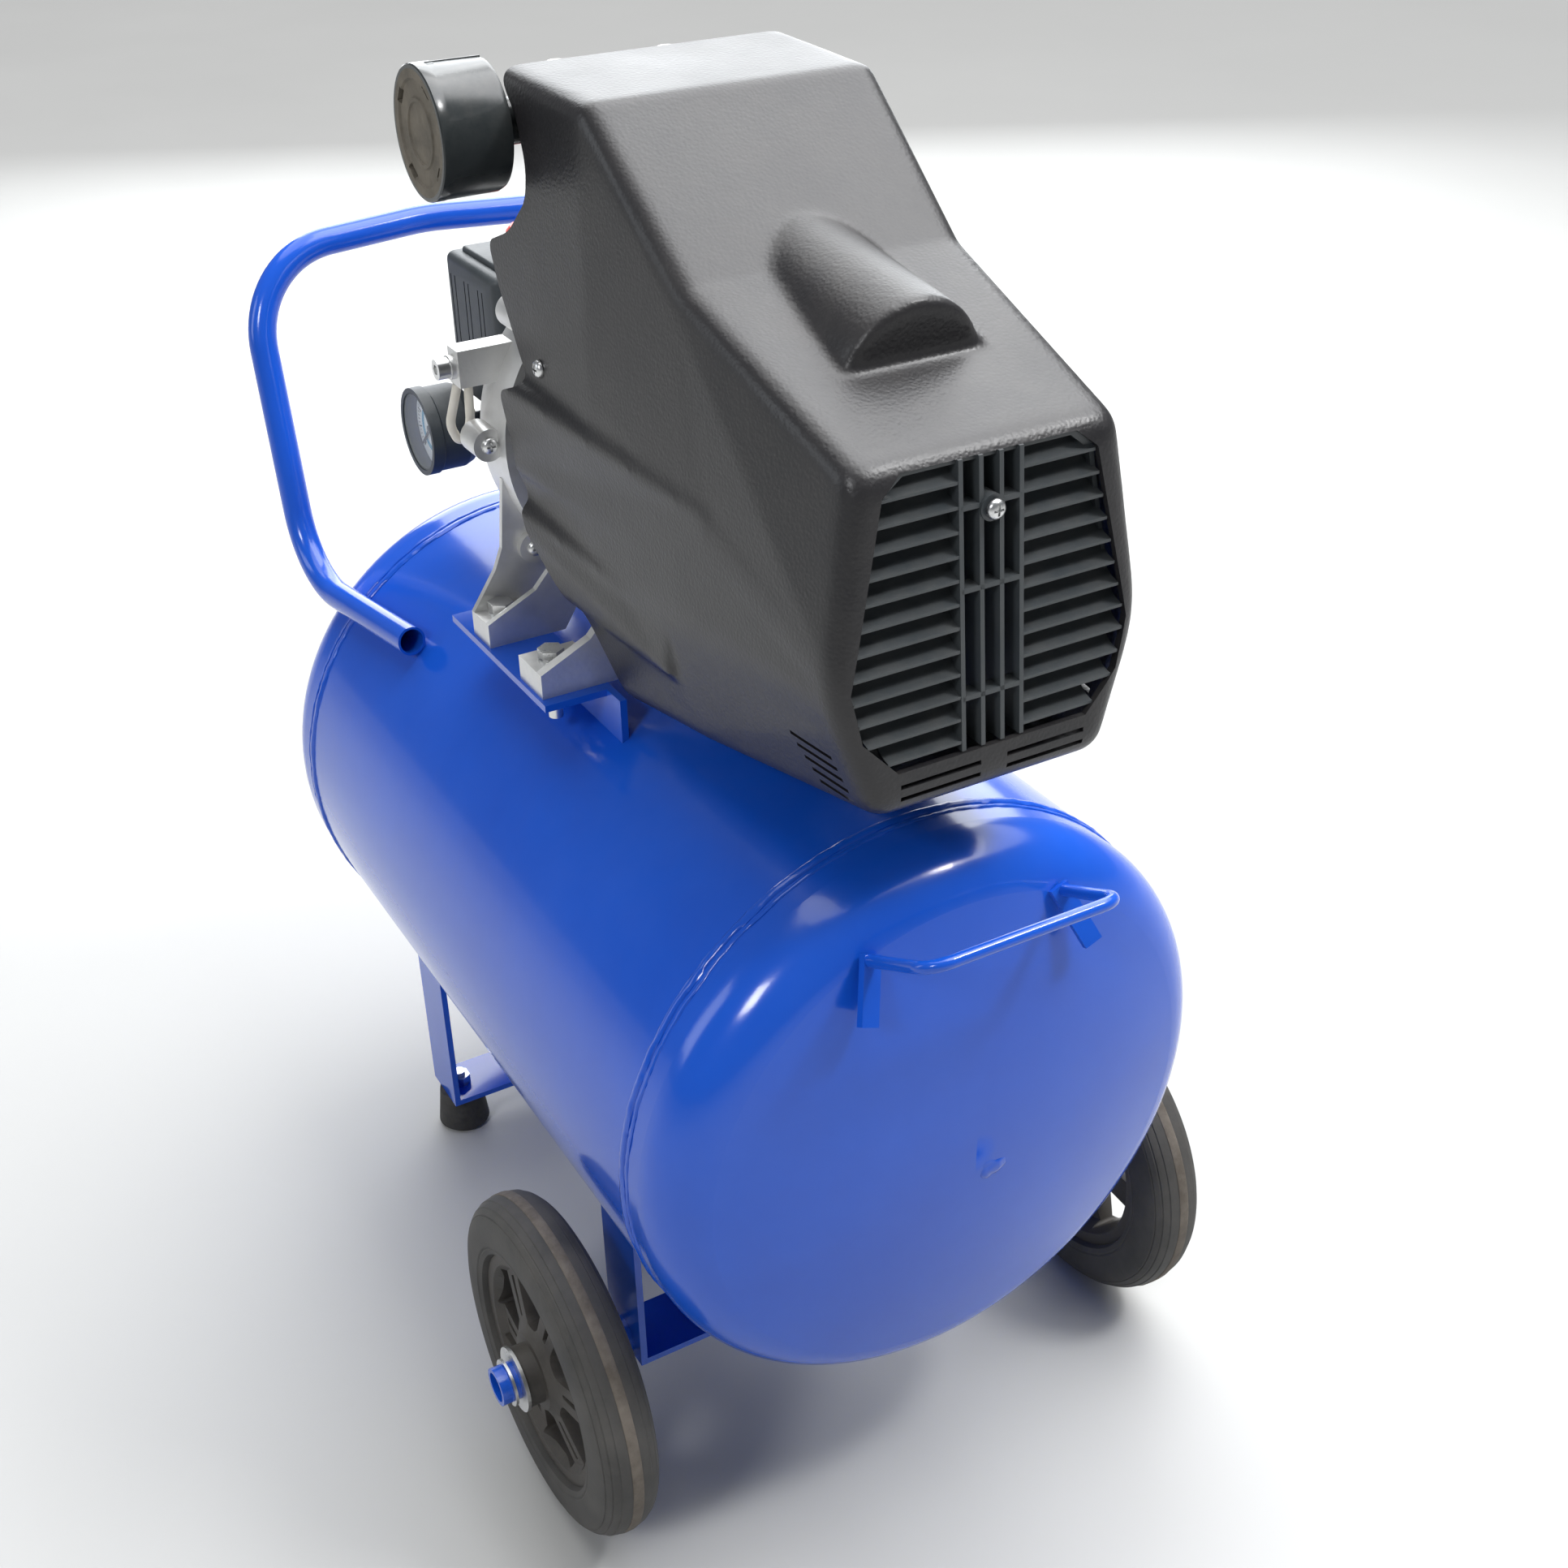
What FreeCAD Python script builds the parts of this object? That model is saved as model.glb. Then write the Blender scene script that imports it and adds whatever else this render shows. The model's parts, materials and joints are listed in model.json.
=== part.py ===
"""Wheeled direct-drive air compressor: welded receiver, shrouded motor pump and pressure fittings.

Frame: +X towards the grille end, +Z up, floor at z = 0, origin under the middle of the whole length.
Lengths are millimetres.  Stations along X are measured from the middle of the receiver, tank_x.
"""
import FreeCAD
import Part
import Sketcher
import math
import os
import re

from FreeCAD import Placement, Rotation, Vector

CELLS = {
    # receiver: rolled shell and two dished heads
    "tank_x": 16.3,
    "tank_z": 271.0,
    "tank_radius": 165.0,
    "tank_wall": 2.5,
    "shell_half": 230.6,
    "head_skirt": 16.5,
    "head_crown": 520.0,
    "head_knuckle": 33.0,
    "socket_radius": 13.0,
    "socket_bore": 8.5,
    "socket_rise": 10.0,
    # running gear
    "axle_station": 165.0,
    "axle_z": 100.0,
    "axle_radius": 11.0,
    "axle_bore": 8.5,
    "axle_half": 222.0,
    "clip_y": 214.0,
    "wheel_y": 183.6,
    "wheel_radius": 100.0,
    "tyre_width": 36.0,
    "rim_radius": 68.0,
    "hub_radius": 20.0,
    "hub_half": 25.0,
    "running_gap": 0.06,
    "washer_thick": 2.0,
    "washer_radius": 19.0,
    "sheet_thick": 4.0,
    "bracket_half": 20.0,
    "bracket_y": 142.0,
    "bracket_z": 91.0,
    "foot_station": -170.0,
    "foot_y": 112.0,
    "rubber_rise": 30.0,
    "rubber_radius": 18.0,
    # handles
    "handle_radius": 9.0,
    "handle_wall": 1.5,
    "grab_radius": 3.2,
    # pump seat
    "seat_z": 444.0,
    "pad_y": 95.0,
    "pad_rise": 14.0,
    "far_pad": -38.8,
    "near_pad": 28.0,
    "bolt_radius": 4.0,
    # motor and crank
    "crank_z": 552.0,
    "throw": 20.0,
    "shaft_radius": 8.0,
    "case_radius": 86.0,
    "barrel_radius": 66.0,
    "chamber_radius": 57.0,
    "stator_radius": 68.0,
    "stator_start": 48.0,
    "stator_length": 90.0,
    "rotor_radius": 38.0,
    "fan_station": 214.0,
    "fan_radius": 58.0,
    # cylinder and head
    "cylinder_x": -22.0,
    "bore_radius": 23.75,
    "block_half": 38.0,
    "deck_z": 625.0,
    "plate_z": 688.0,
    "plate_thick": 5.0,
    "head_half": 40.0,
    "head_rise": 42.0,
    "filter_z": 722.0,
    "filter_radius": 31.5,
    "filter_back": 82.0,
    "filter_length": 37.0,
    "neck_radius": 11.0,
    # shroud
    "skin": 3.0,
    "grille_lean": 4.86,
    "slat_pitch": 10.6,
    # pressure switch and fittings
    "switch_x": -160.0,
    "switch_y": -5.0,
    "switch_long": 70.0,
    "switch_wide": 84.0,
    "switch_z": 533.0,
    "switch_rise": 85.0,
    "manifold_z": 500.0,
    "gauge_x": -176.0,
    "gauge_z": 517.0,
    "gauge_radius": 26.0,
    "gauge_front": 84.0,
    "gauge_depth": 34.0,
    "regulator_y": 62.0,
    "valve_x": -112.0,
    "valve_y": 26.0,
}

doc = FreeCAD.newDocument("AirCompressor")
sheet = doc.addObject("Spreadsheet::Sheet", "Dims")
for row, (alias, value) in enumerate(CELLS.items(), start=1):
    sheet.set(f"A{row}", alias)
    sheet.set(f"B{row}", str(value))
    sheet.setAlias(f"B{row}", alias)
doc.recompute()

NODES = []
X, Y, Z = Vector(1, 0, 0), Vector(0, 1, 0), Vector(0, 0, 1)
TOWARD = {
    "+z": Rotation(),
    "-z": Rotation(X, 180),
    "+x": Rotation(Y, 90),
    "-x": Rotation(Y, -90),
    "+y": Rotation(X, -90),
    "-y": Rotation(X, 90),
}


# ---------------------------------------------------------------- helpers
def size(alias):
    """Number held by one cell of the sheet."""
    return float(sheet.get(alias))


def linked(text):
    """Expression with every cell name pointed at the sheet."""
    return re.sub(r"[a-z][a-z_]+", lambda m: f"Dims.{m[0]}" if m[0] in CELLS else m[0], str(text))


def bind(item, **formulas):
    """Bind properties of an object to formulas in the sheet's cells."""
    for name, text in formulas.items():
        item.setExpression(name, linked(text))
    return item


def place(item, at, toward="+z"):
    """Put an object's origin at three formulas, its own Z turned towards a direction."""
    item.Placement = Placement(Vector(), TOWARD[toward])
    for letter, text in zip("xyz", at):
        item.setExpression(f"Placement.Base.{letter}", linked(text))
    return item


def box(corner, long, wide, high):
    """Block from its lowest corner."""
    item = doc.addObject("Part::Box", "Block")
    return place(bind(item, Length=long, Width=wide, Height=high), corner)


def rod(at, toward, radius, length):
    """Round bar that starts at a point and runs towards a direction."""
    item = doc.addObject("Part::Cylinder", "Rod")
    return place(bind(item, Radius=radius, Height=length), at, toward)


def cone(at, toward, start_radius, end_radius, length):
    """Tapered round bar."""
    item = doc.addObject("Part::Cone", "Taper")
    return place(bind(item, Radius1=start_radius, Radius2=end_radius, Height=length), at, toward)


def hexagon(at, toward, corner_radius, length):
    """Six-sided bar, as a bolt head or a nut."""
    item = doc.addObject("Part::Prism", "Hexagon")
    item.Polygon = 6
    return place(bind(item, Circumradius=corner_radius, Height=length), at, toward)


def fuse(*items):
    """One solid from several."""
    item = doc.addObject("Part::MultiFuse", "Joined")
    item.Shapes = list(items)
    item.Refine = True
    return item


def cut(base, *tools):
    """A solid with others taken away."""
    item = doc.addObject("Part::Cut", "Trimmed")
    item.Base = base
    item.Tool = tools[0] if len(tools) == 1 else fuse(*tools)
    return item


def group(*items):
    """Separate solids kept in one node."""
    item = doc.addObject("Part::Compound", "Group")
    item.Links = list(items)
    return item


def node(label, item):
    """Name an object as a finished piece."""
    item.Label = label
    NODES.append(item)
    return item


def formed(label, shape):
    """Finished piece from a shape made by Part's own functions, in receiver stations."""
    item = doc.addObject("Part::Feature", "Formed")
    item.Shape = shape
    item.Placement = Placement(Vector(size("tank_x"), 0, 0), Rotation()).multiply(shape.Placement)
    return node(label, item)


def sketch_outline(body, plane, points):
    """Closed outline on one of the body's origin planes, each corner tied to the sheet."""
    sketch = body.newObject("Sketcher::SketchObject", "Outline")
    support = [item for item in body.Origin.OriginFeatures if item.Role == plane][0]
    sketch.AttachmentSupport = [(support, "")]
    sketch.MapMode = "FlatFace"
    count = len(points)
    spots = [Vector(9 * math.cos(math.tau * i / count), 9 * math.sin(math.tau * i / count), 0)
             for i in range(count)]
    for i in range(count):
        sketch.addGeometry(Part.LineSegment(spots[i], spots[(i + 1) % count]), False)
    for i in range(count):
        sketch.addConstraint(Sketcher.Constraint("Coincident", i, 2, (i + 1) % count, 1))
    for i, corner in enumerate(points):
        for kind, axis, text in zip(("DistanceX", "DistanceY"), (-2, -1), corner):
            if text == "0":
                sketch.addConstraint(Sketcher.Constraint("PointOnObject", i, 1, axis))
            else:
                number = sketch.addConstraint(Sketcher.Constraint(kind, -1, 1, i, 1, 1.0 + i))
                sketch.setExpression(f"Constraints[{number}]", linked(text))
    return sketch


def turned(at, toward, points):
    """Lathe-turned solid: corners are (radius, height) along its own axis."""
    body = doc.addObject("PartDesign::Body", "Turned")
    sketch = sketch_outline(body, "XZ_Plane", points)
    feature = body.newObject("PartDesign::Revolution", "Revolution")
    feature.Profile = sketch
    feature.ReferenceAxis = (sketch, ["V_Axis"])
    feature.Angle = 360
    sketch.Visibility = False
    return place(body, at, toward)


def profiled(at, points, thickness):
    """Flat plate across the machine: corners are (y, z), thickness runs towards +X."""
    body = doc.addObject("PartDesign::Body", "Profiled")
    sketch = sketch_outline(body, "YZ_Plane", points)
    feature = body.newObject("PartDesign::Pad", "Pad")
    feature.Profile = sketch
    feature.setExpression("Length", linked(thickness))
    return place(body, at)


def bent_path(corners, radii):
    """Wire of straight runs joined by tangent arcs at the inner corners."""
    edges = []
    start = corners[0]
    for i, radius in enumerate(radii, start=1):
        before = (corners[i - 1] - corners[i]).normalize()
        after = (corners[i + 1] - corners[i]).normalize()
        half_turn = (math.pi - before.getAngle(after)) / 2
        reach = radius * math.tan(half_turn)
        entry = corners[i] + before * reach
        leave = corners[i] + after * reach
        inward = (before + after).normalize()
        middle = corners[i] + inward * (radius / math.cos(half_turn) - radius)
        edges.append(Part.LineSegment(start, entry).toShape())
        edges.append(Part.Arc(entry, middle, leave).toShape())
        start = leave
    edges.append(Part.LineSegment(start, corners[-1]).toShape())
    return Part.Wire(edges)


def bent_bar(corners, radii, radius):
    """Round bar swept along a bent path."""
    path = bent_path(corners, radii)
    along = (corners[1] - corners[0]).normalize()
    ring = Part.Wire(Part.Circle(corners[0], along, radius).toShape())
    return path.makePipeShell([ring], True, False)


# ---------------------------------------------------------------- receiver
def make_receiver():
    """Rolled shell with welded ports, closed by two dished heads."""
    ports = [
        rod(("tank_x + switch_x", "switch_y", "tank_z"), "+z", "socket_radius", "tank_radius + 20"),
        rod(("tank_x + valve_x", "valve_y", "tank_z"), "+z", "socket_radius", "tank_radius + 20"),
        rod(("tank_x", 0, "tank_z"), "-z", "socket_radius", "tank_radius + 20"),
    ]
    start = ("tank_x - shell_half", 0, "tank_z")
    bore = rod(start, "+x", "tank_radius - tank_wall", "2 * shell_half")
    node("tank_shell", cut(rod(start, "+x", "tank_radius", "2 * shell_half"), bore, *ports))

    def socket(x, y, z, toward):
        outer = rod((x, y, z), toward, "socket_radius", "tank_wall + 6 + socket_rise")
        return cut(outer, rod((x, y, z), toward, "socket_bore", "tank_wall + 6 + socket_rise"))

    node("tank_sockets", group(
        socket("tank_x + switch_x", "switch_y", "tank_z + tank_radius - tank_wall - 6", "+z"),
        socket("tank_x + valve_x", "valve_y", "tank_z + tank_radius - tank_wall - 10", "+z"),
        socket("tank_x", 0, "tank_z - tank_radius + tank_wall + 6", "-z")))

    for label, turn in (("tank_head_near", 0), ("tank_head_far", 180)):
        shape = dished_head()
        shape.rotate(Vector(), Z, turn)
        shape.translate(Vector(0, 0, size("tank_z")))
        formed(label, shape)


def dished_head():
    """Torispherical head: straight skirt, knuckle and crown, one wall thick."""
    def section(radius, knuckle, crown):
        skirt_end = size("shell_half") + size("head_skirt")
        reach = crown - knuckle
        centre_r = radius - knuckle
        depth = math.sqrt(reach ** 2 - centre_r ** 2)
        crown_x = skirt_end - depth
        slope = math.atan2(centre_r, depth)
        meet = Vector(crown_x + crown * math.cos(slope), 0, crown * math.sin(slope))
        half = slope / 2
        apex = Vector(crown_x + crown, 0, 0)
        crown_mid = Vector(crown_x + crown * math.cos(half), 0, crown * math.sin(half))
        turn = (slope + math.pi / 2) / 2
        knuckle_mid = Vector(skirt_end + knuckle * math.cos(turn), 0, centre_r + knuckle * math.sin(turn))
        knuckle_end = Vector(skirt_end, 0, radius)
        skirt = Vector(size("shell_half"), 0, radius)
        return [skirt, knuckle_end, knuckle_mid, meet, crown_mid, apex]

    wall = size("tank_wall")
    outer = section(size("tank_radius"), size("head_knuckle"), size("head_crown"))
    inner = section(size("tank_radius") - wall, size("head_knuckle") - wall, size("head_crown") - wall)
    edges = [
        Part.LineSegment(outer[0], outer[1]),
        Part.Arc(outer[1], outer[2], outer[3]),
        Part.Arc(outer[3], outer[4], outer[5]),
        Part.LineSegment(outer[5], inner[5]),
        Part.Arc(inner[5], inner[4], inner[3]),
        Part.Arc(inner[3], inner[2], inner[1]),
        Part.LineSegment(inner[1], inner[0]),
        Part.LineSegment(inner[0], outer[0]),
    ]
    face = Part.Face(Part.Wire([edge.toShape() for edge in edges]))
    return face.revolve(Vector(), X, 360)


# ---------------------------------------------------------------- running gear
def make_undercarriage():
    """Folded brackets, axle with its fixings and the rubber feet at the far end."""
    for label, station, half_y, floor in (("wheel_bracket", "axle_station", "bracket_y", "bracket_z"),
                                          ("foot_bracket", "foot_station", "foot_y + 12", "rubber_rise")):
        start = f"tank_x + {station} - bracket_half"
        outer = box((start, f"-({half_y})", floor), "2 * bracket_half", f"2 * ({half_y})",
                    f"tank_z - 30 - {floor}")
        inner = box((start, f"sheet_thick - ({half_y})", f"{floor} + sheet_thick"), "2 * bracket_half",
                    f"2 * ({half_y} - sheet_thick)", 200)
        clearance = rod(("tank_x - 300", 0, "tank_z"), "+x", "tank_radius", 600)
        tools = [inner, clearance]
        if label == "foot_bracket":
            tools += [rod((f"tank_x + {station}", f"{side} * foot_y", 0), "+z", "bolt_radius + 0.3", 60)
                      for side in (-1, 1)]
        node(label, cut(outer, *tools))

    feet = []
    for side in (-1, 1):
        at = ("tank_x + foot_station", f"{side} * foot_y", 0)
        pad = turned(at, "+z", [("0", "9"), ("9", "9"), ("9", "0"), ("rubber_radius - 3", "0"),
                                ("rubber_radius", "3"), ("rubber_radius - 3", "rubber_rise"),
                                ("0", "rubber_rise")])
        feet.append(cut(pad, rod((at[0], at[1], 9), "+z", "bolt_radius", "rubber_rise")))
    node("rubber_feet", group(*feet))

    stubs = []
    washers = []
    clips = []
    centre = "tank_x + axle_station"
    for side, toward in ((-1, "-y"), (1, "+y")):
        stub = turned((centre, f"{side} * bracket_y", "axle_z"), toward, [
            ("axle_bore", "0"), ("axle_radius", "0"), ("axle_radius", "clip_y - bracket_y"),
            ("axle_radius - 1.3", "clip_y - bracket_y"), ("axle_radius - 1.3", "clip_y - bracket_y + 1.8"),
            ("axle_radius", "clip_y - bracket_y + 1.8"), ("axle_radius", "axle_half - bracket_y"),
            ("axle_bore", "axle_half - bracket_y")])
        stubs.append(stub)
        outside = f"{side} * (wheel_y + hub_half + 0.4)"
        inside = f"{side} * (wheel_y - hub_half - 0.4 - 2 * washer_thick)"
        for at_y, thick in ((outside, "washer_thick"), (inside, "2 * washer_thick")):
            ring = rod((centre, at_y, "axle_z"), toward, "washer_radius", thick)
            washers.append(cut(ring, rod((centre, at_y, "axle_z"), toward, "axle_radius", thick)))
        at_y = f"{side} * (clip_y + 0.1)"
        ring = rod((centre, at_y, "axle_z"), toward, "axle_radius + 2.6", 1.6)
        mouth = box((f"{centre} - 5", f"{at_y} - 4", "axle_z - 20"), 10, 8, 20)
        clips.append(cut(ring, rod((centre, at_y, "axle_z"), toward, "axle_radius - 1.3", 1.6), mouth))
    node("axle_stubs", group(*stubs))
    node("axle_washers", group(*washers))
    node("retaining_clips", group(*clips))


def make_wheel(name, side, toward):
    """Spoked plastic rim on a plain bore, with a solid rubber tyre."""
    at = ("tank_x + axle_station", f"{side} * wheel_y", "axle_z")
    half = "tyre_width / 2"
    tyre = turned(at, toward, [
        ("rim_radius", f"-{half}"), ("wheel_radius - 9", f"-{half}"), ("wheel_radius - 3", f"5 - {half}"),
        ("wheel_radius", f"10 - {half}"), ("wheel_radius", f"{half} - 10"),
        ("wheel_radius - 3", f"{half} - 5"), ("wheel_radius - 9", half), ("rim_radius", half)])
    node(f"{name}_tyre", tyre)

    rim = turned(at, toward, [
        ("axle_radius + running_gap", "-hub_half"), ("hub_radius", "-hub_half"), ("hub_radius", "-4"),
        ("rim_radius - 6", "-4"), ("rim_radius - 6", "-14"), ("rim_radius", "-14"), ("rim_radius", "14"),
        ("rim_radius - 6", "14"), ("rim_radius - 6", "4"), ("hub_radius", "4"), ("hub_radius", "hub_half"),
        ("axle_radius + running_gap", "hub_half")])
    windows = []
    for i in range(6):
        window = doc.addObject("Part::Wedge", "Window")
        bind(window, Xmin="hub_radius + 7", Xmax="rim_radius - 12", Ymin=-20, Ymax=20,
             Zmin=-8, Zmax=8, X2min="hub_radius + 7", X2max="rim_radius - 12", Z2min=-8, Z2max=8)
        window.Placement = Placement(Vector(), TOWARD["+y"] * Rotation(Z, 60 * i) * Rotation(X, 90))
        for letter, text in zip("xyz", at):
            window.setExpression(f"Placement.Base.{letter}", linked(text))
        windows.append(window)
    node(f"{name}_rim", cut(rim, *windows))


# ---------------------------------------------------------------- handles and pump rails
def make_handles():
    """Tube handle round the far end and a bent-rod grab on the near head."""
    radius = size("handle_radius")
    left = [Vector(-139, -116, 402.5), Vector(-290, -130, 388), Vector(-348, -124, 584)]
    right = [Vector(p.x, -p.y, p.z) for p in reversed(left)]
    corners = left + [Vector(-356, 0, 590)] + right
    radii = [55, 62, 150, 62, 55]
    outer = bent_bar(corners, radii, radius)
    inner = bent_bar(corners, radii, radius - size("handle_wall"))
    formed("carry_handle", outer.cut(inner))

    corners = [Vector(280, -56, 402), Vector(328, -53, 426), Vector(328, 53, 426), Vector(280, 56, 402)]
    grab = bent_bar(corners, [12, 12], size("grab_radius"))
    for side in (-1, 1):
        leg = Part.makeBox(4, 10, 34, Vector(-2, -5, -30))
        leg.rotate(Vector(), Y, -28)
        leg.rotate(Vector(), X, side * 22)
        leg.translate(Vector(282.5, side * 55, 402))
        grab = grab.fuse(leg)
    formed("end_handle", grab.cut(solid_head()).removeSplitter())


def solid_head():
    """Filled outline of the near head, to trim what is welded on it."""
    head = dished_head()
    head.translate(Vector(0, 0, size("tank_z")))
    plug = Part.makeCylinder(size("tank_radius") - size("tank_wall"), size("head_skirt") + 8,
                             Vector(size("shell_half"), 0, size("tank_z")), X)
    return head.fuse(plug)


def make_rails():
    """Angle rails welded along the top of the shell: the pump's feet bolt to their flanges."""
    rails = []
    for side in (-1, 1):
        web_y = f"{side} * 72 - 2"
        flange_y = "72" if side > 0 else "-110"
        flange = box(("tank_x - 78", flange_y, "seat_z - sheet_thick"), 128, 38, "sheet_thick")
        web = box(("tank_x - 78", web_y, "seat_z - 40"), 144, "sheet_thick", 40)
        rails.append(fuse(flange, web))
    clearance = rod(("tank_x - 300", 0, "tank_z"), "+x", "tank_radius", 600)
    holes = [rod((f"tank_x + {pad}", f"{side} * pad_y", "seat_z - 30"), "+z", "bolt_radius + 0.3", 60)
             for pad in ("far_pad", "near_pad") for side in (-1, 1)]
    node("pump_rails", cut(group(*rails), clearance, *holes))


# ---------------------------------------------------------------- pump castings
def make_crankcase():
    """Round crankcase with four feet; its cover closes the far side."""
    centre = (0, "crank_z")
    parts = [
        rod(("tank_x - 50", *centre), "+x", "case_radius", 18),
        rod(("tank_x - 34", *centre), "+x", "barrel_radius", 80),
        rod(("tank_x + 36", *centre), "+x", "case_radius - 7", 11),
        box(("tank_x - 50", "-block_half", "crank_z + 20"), 66, "2 * block_half", "deck_z - crank_z - 20"),
    ]
    leg = [("50", "crank_z - 44"), ("84", "crank_z - 20"), ("88", "crank_z - 60"), ("93", "480"),
           ("108", "seat_z + pad_rise"), ("108", "seat_z"), ("62", "seat_z"), ("40", "crank_z - 60")]
    short_leg = [("40", "crank_z - 40"), ("58", "494"), ("78", "472"), ("108", "seat_z + pad_rise"),
                 ("108", "seat_z"), ("62", "seat_z"), ("34", "crank_z - 64")]
    for side in (1, -1):
        parts.append(profiled(("tank_x - 50", 0, 0), [(f"{side} * ({y})", z) for y, z in leg], 3.5))
        parts.append(profiled(("tank_x - 31", 0, 0), [(f"{side} * ({y})", z) for y, z in short_leg], 4))
        parts.append(profiled(("tank_x + 37", 0, 0), [(f"{side} * ({y})", z) for y, z in short_leg], 6))
        inner_y = "76" if side > 0 else "-108"
        for start, long in (("tank_x - 50", 23), ("tank_x + 14", 29)):
            parts.append(box((start, inner_y, "seat_z"), long, 32, "pad_rise"))
    bores = [
        rod(("tank_x - 60", *centre), "+x", "chamber_radius", 58),
        rod(("tank_x + 8", *centre), "+x", "chamber_radius", 60),
        rod(("tank_x - 60", *centre), "+x", "shaft_radius + running_gap", 90),
        rod(("tank_x + cylinder_x", 0, "crank_z"), "+z", "bore_radius + 2", 90),
        box(("tank_x + cylinder_x - block_half - 20", "-block_half - 0.1", "deck_z"), 160, 76.2, 60),
    ]
    for pad in ("far_pad", "near_pad"):
        for side in (-1, 1):
            bores.append(rod((f"tank_x + {pad}", f"{side} * pad_y", "seat_z - 5"), "+z",
                             "bolt_radius + 0.3", 40))
    bores += [rod(stud_spot(i, "tank_x + 30"), "+x", 2.6, 20) for i in range(4)]
    screw_spots = case_screw_spots()
    for y, z in screw_spots:
        parts.append(rod(("tank_x - 50", y, z), "+x", 9, 8))
        bores.append(rod(("tank_x - 60", y, z), "+x", 2.5, 40))
    node("crankcase", cut(fuse(*parts), *bores))

    dome = turned(("tank_x - 50", *centre), "-x", [
        ("0", "50"), ("30", "50"), ("56", "40"), ("62", "16"), ("case_radius", "16"),
        ("case_radius", "0"), ("chamber_radius", "0"), ("chamber_radius - 6", "36"), ("28", "44"),
        ("0", "44")])
    ears = [rod(("tank_x - 50", y, z), "-x", 9, 11) for y, z in screw_spots]
    holes = [rod(("tank_x - 50", y, z), "-x", 2.5, 30) for y, z in screw_spots]
    notch = box(("tank_x - 110", "-block_half - 0.1", "deck_z"), 160, 76.2, 60)
    breather = breather_block()
    node("crankcase_cover", cut(fuse(dome, breather, *ears), notch, *holes))

    plug = fuse(rod(("tank_x - 60", -103, 594), "-y", 5.5, 7), rod(("tank_x - 60", -100, 594), "-y", 3, 5))
    node("oil_plug", cut(plug, hexagon(("tank_x - 60", -108, 594), "-y", 2.9, 4)))


def stud_spot(i, at_x):
    """Place of one of the four motor studs, at a station along the crank axis."""
    return polar_at(at_x, 73.6, 90 * i + 45)


def case_screw_spots():
    """Ears round the case flange, in pairs about the middle."""
    ears = [(91, 2), (70, -62), (64, 66)]
    return [(f"{side} * {y}", f"crank_z + {z}") for side in (-1, 1) for y, z in ears]


def breather_block():
    """Rectangular boss that carries the plug, high on the left of the cover."""
    boss = box(("tank_x - 66", -100, 584), 14, 34, 20)
    mouth = rod(("tank_x - 60", -99, 594), "-y", 6.5, 4)
    return cut(fuse(boss, mouth), rod(("tank_x - 60", -90, 594), "-y", 3, 20))


def make_foot_bolts():
    """Hexagon bolts, washers and nuts that clamp the feet to the rails."""
    bolts = []
    for pad in ("far_pad", "near_pad"):
        for side in (-1, 1):
            at = (f"tank_x + {pad}", f"{side} * pad_y")
            top = "seat_z + pad_rise"
            shank = rod((*at, "seat_z - 20"), "+z", "bolt_radius", "pad_rise + 22")
            washer = rod((*at, top), "+z", 7.2, 1.6)
            head = hexagon((*at, f"{top} + 1.6"), "+z", 7.2, 5.3)
            nut = hexagon((*at, "seat_z - sheet_thick - 6.8"), "+z", 7.5, 6.8)
            bolts.append(fuse(shank, washer, head, nut))
    for side in (-1, 1):
        at = ("tank_x + foot_station", f"{side} * foot_y")
        shank = rod((*at, 4), "+z", "bolt_radius", "rubber_rise + sheet_thick + 6")
        head = hexagon((*at, 3.7), "+z", 7.5, 5.3)
        nut = hexagon((*at, "rubber_rise + sheet_thick"), "+z", 7.5, 6.8)
        bolts.append(fuse(shank, head, nut))
    node("hex_bolts", group(*bolts))


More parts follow.
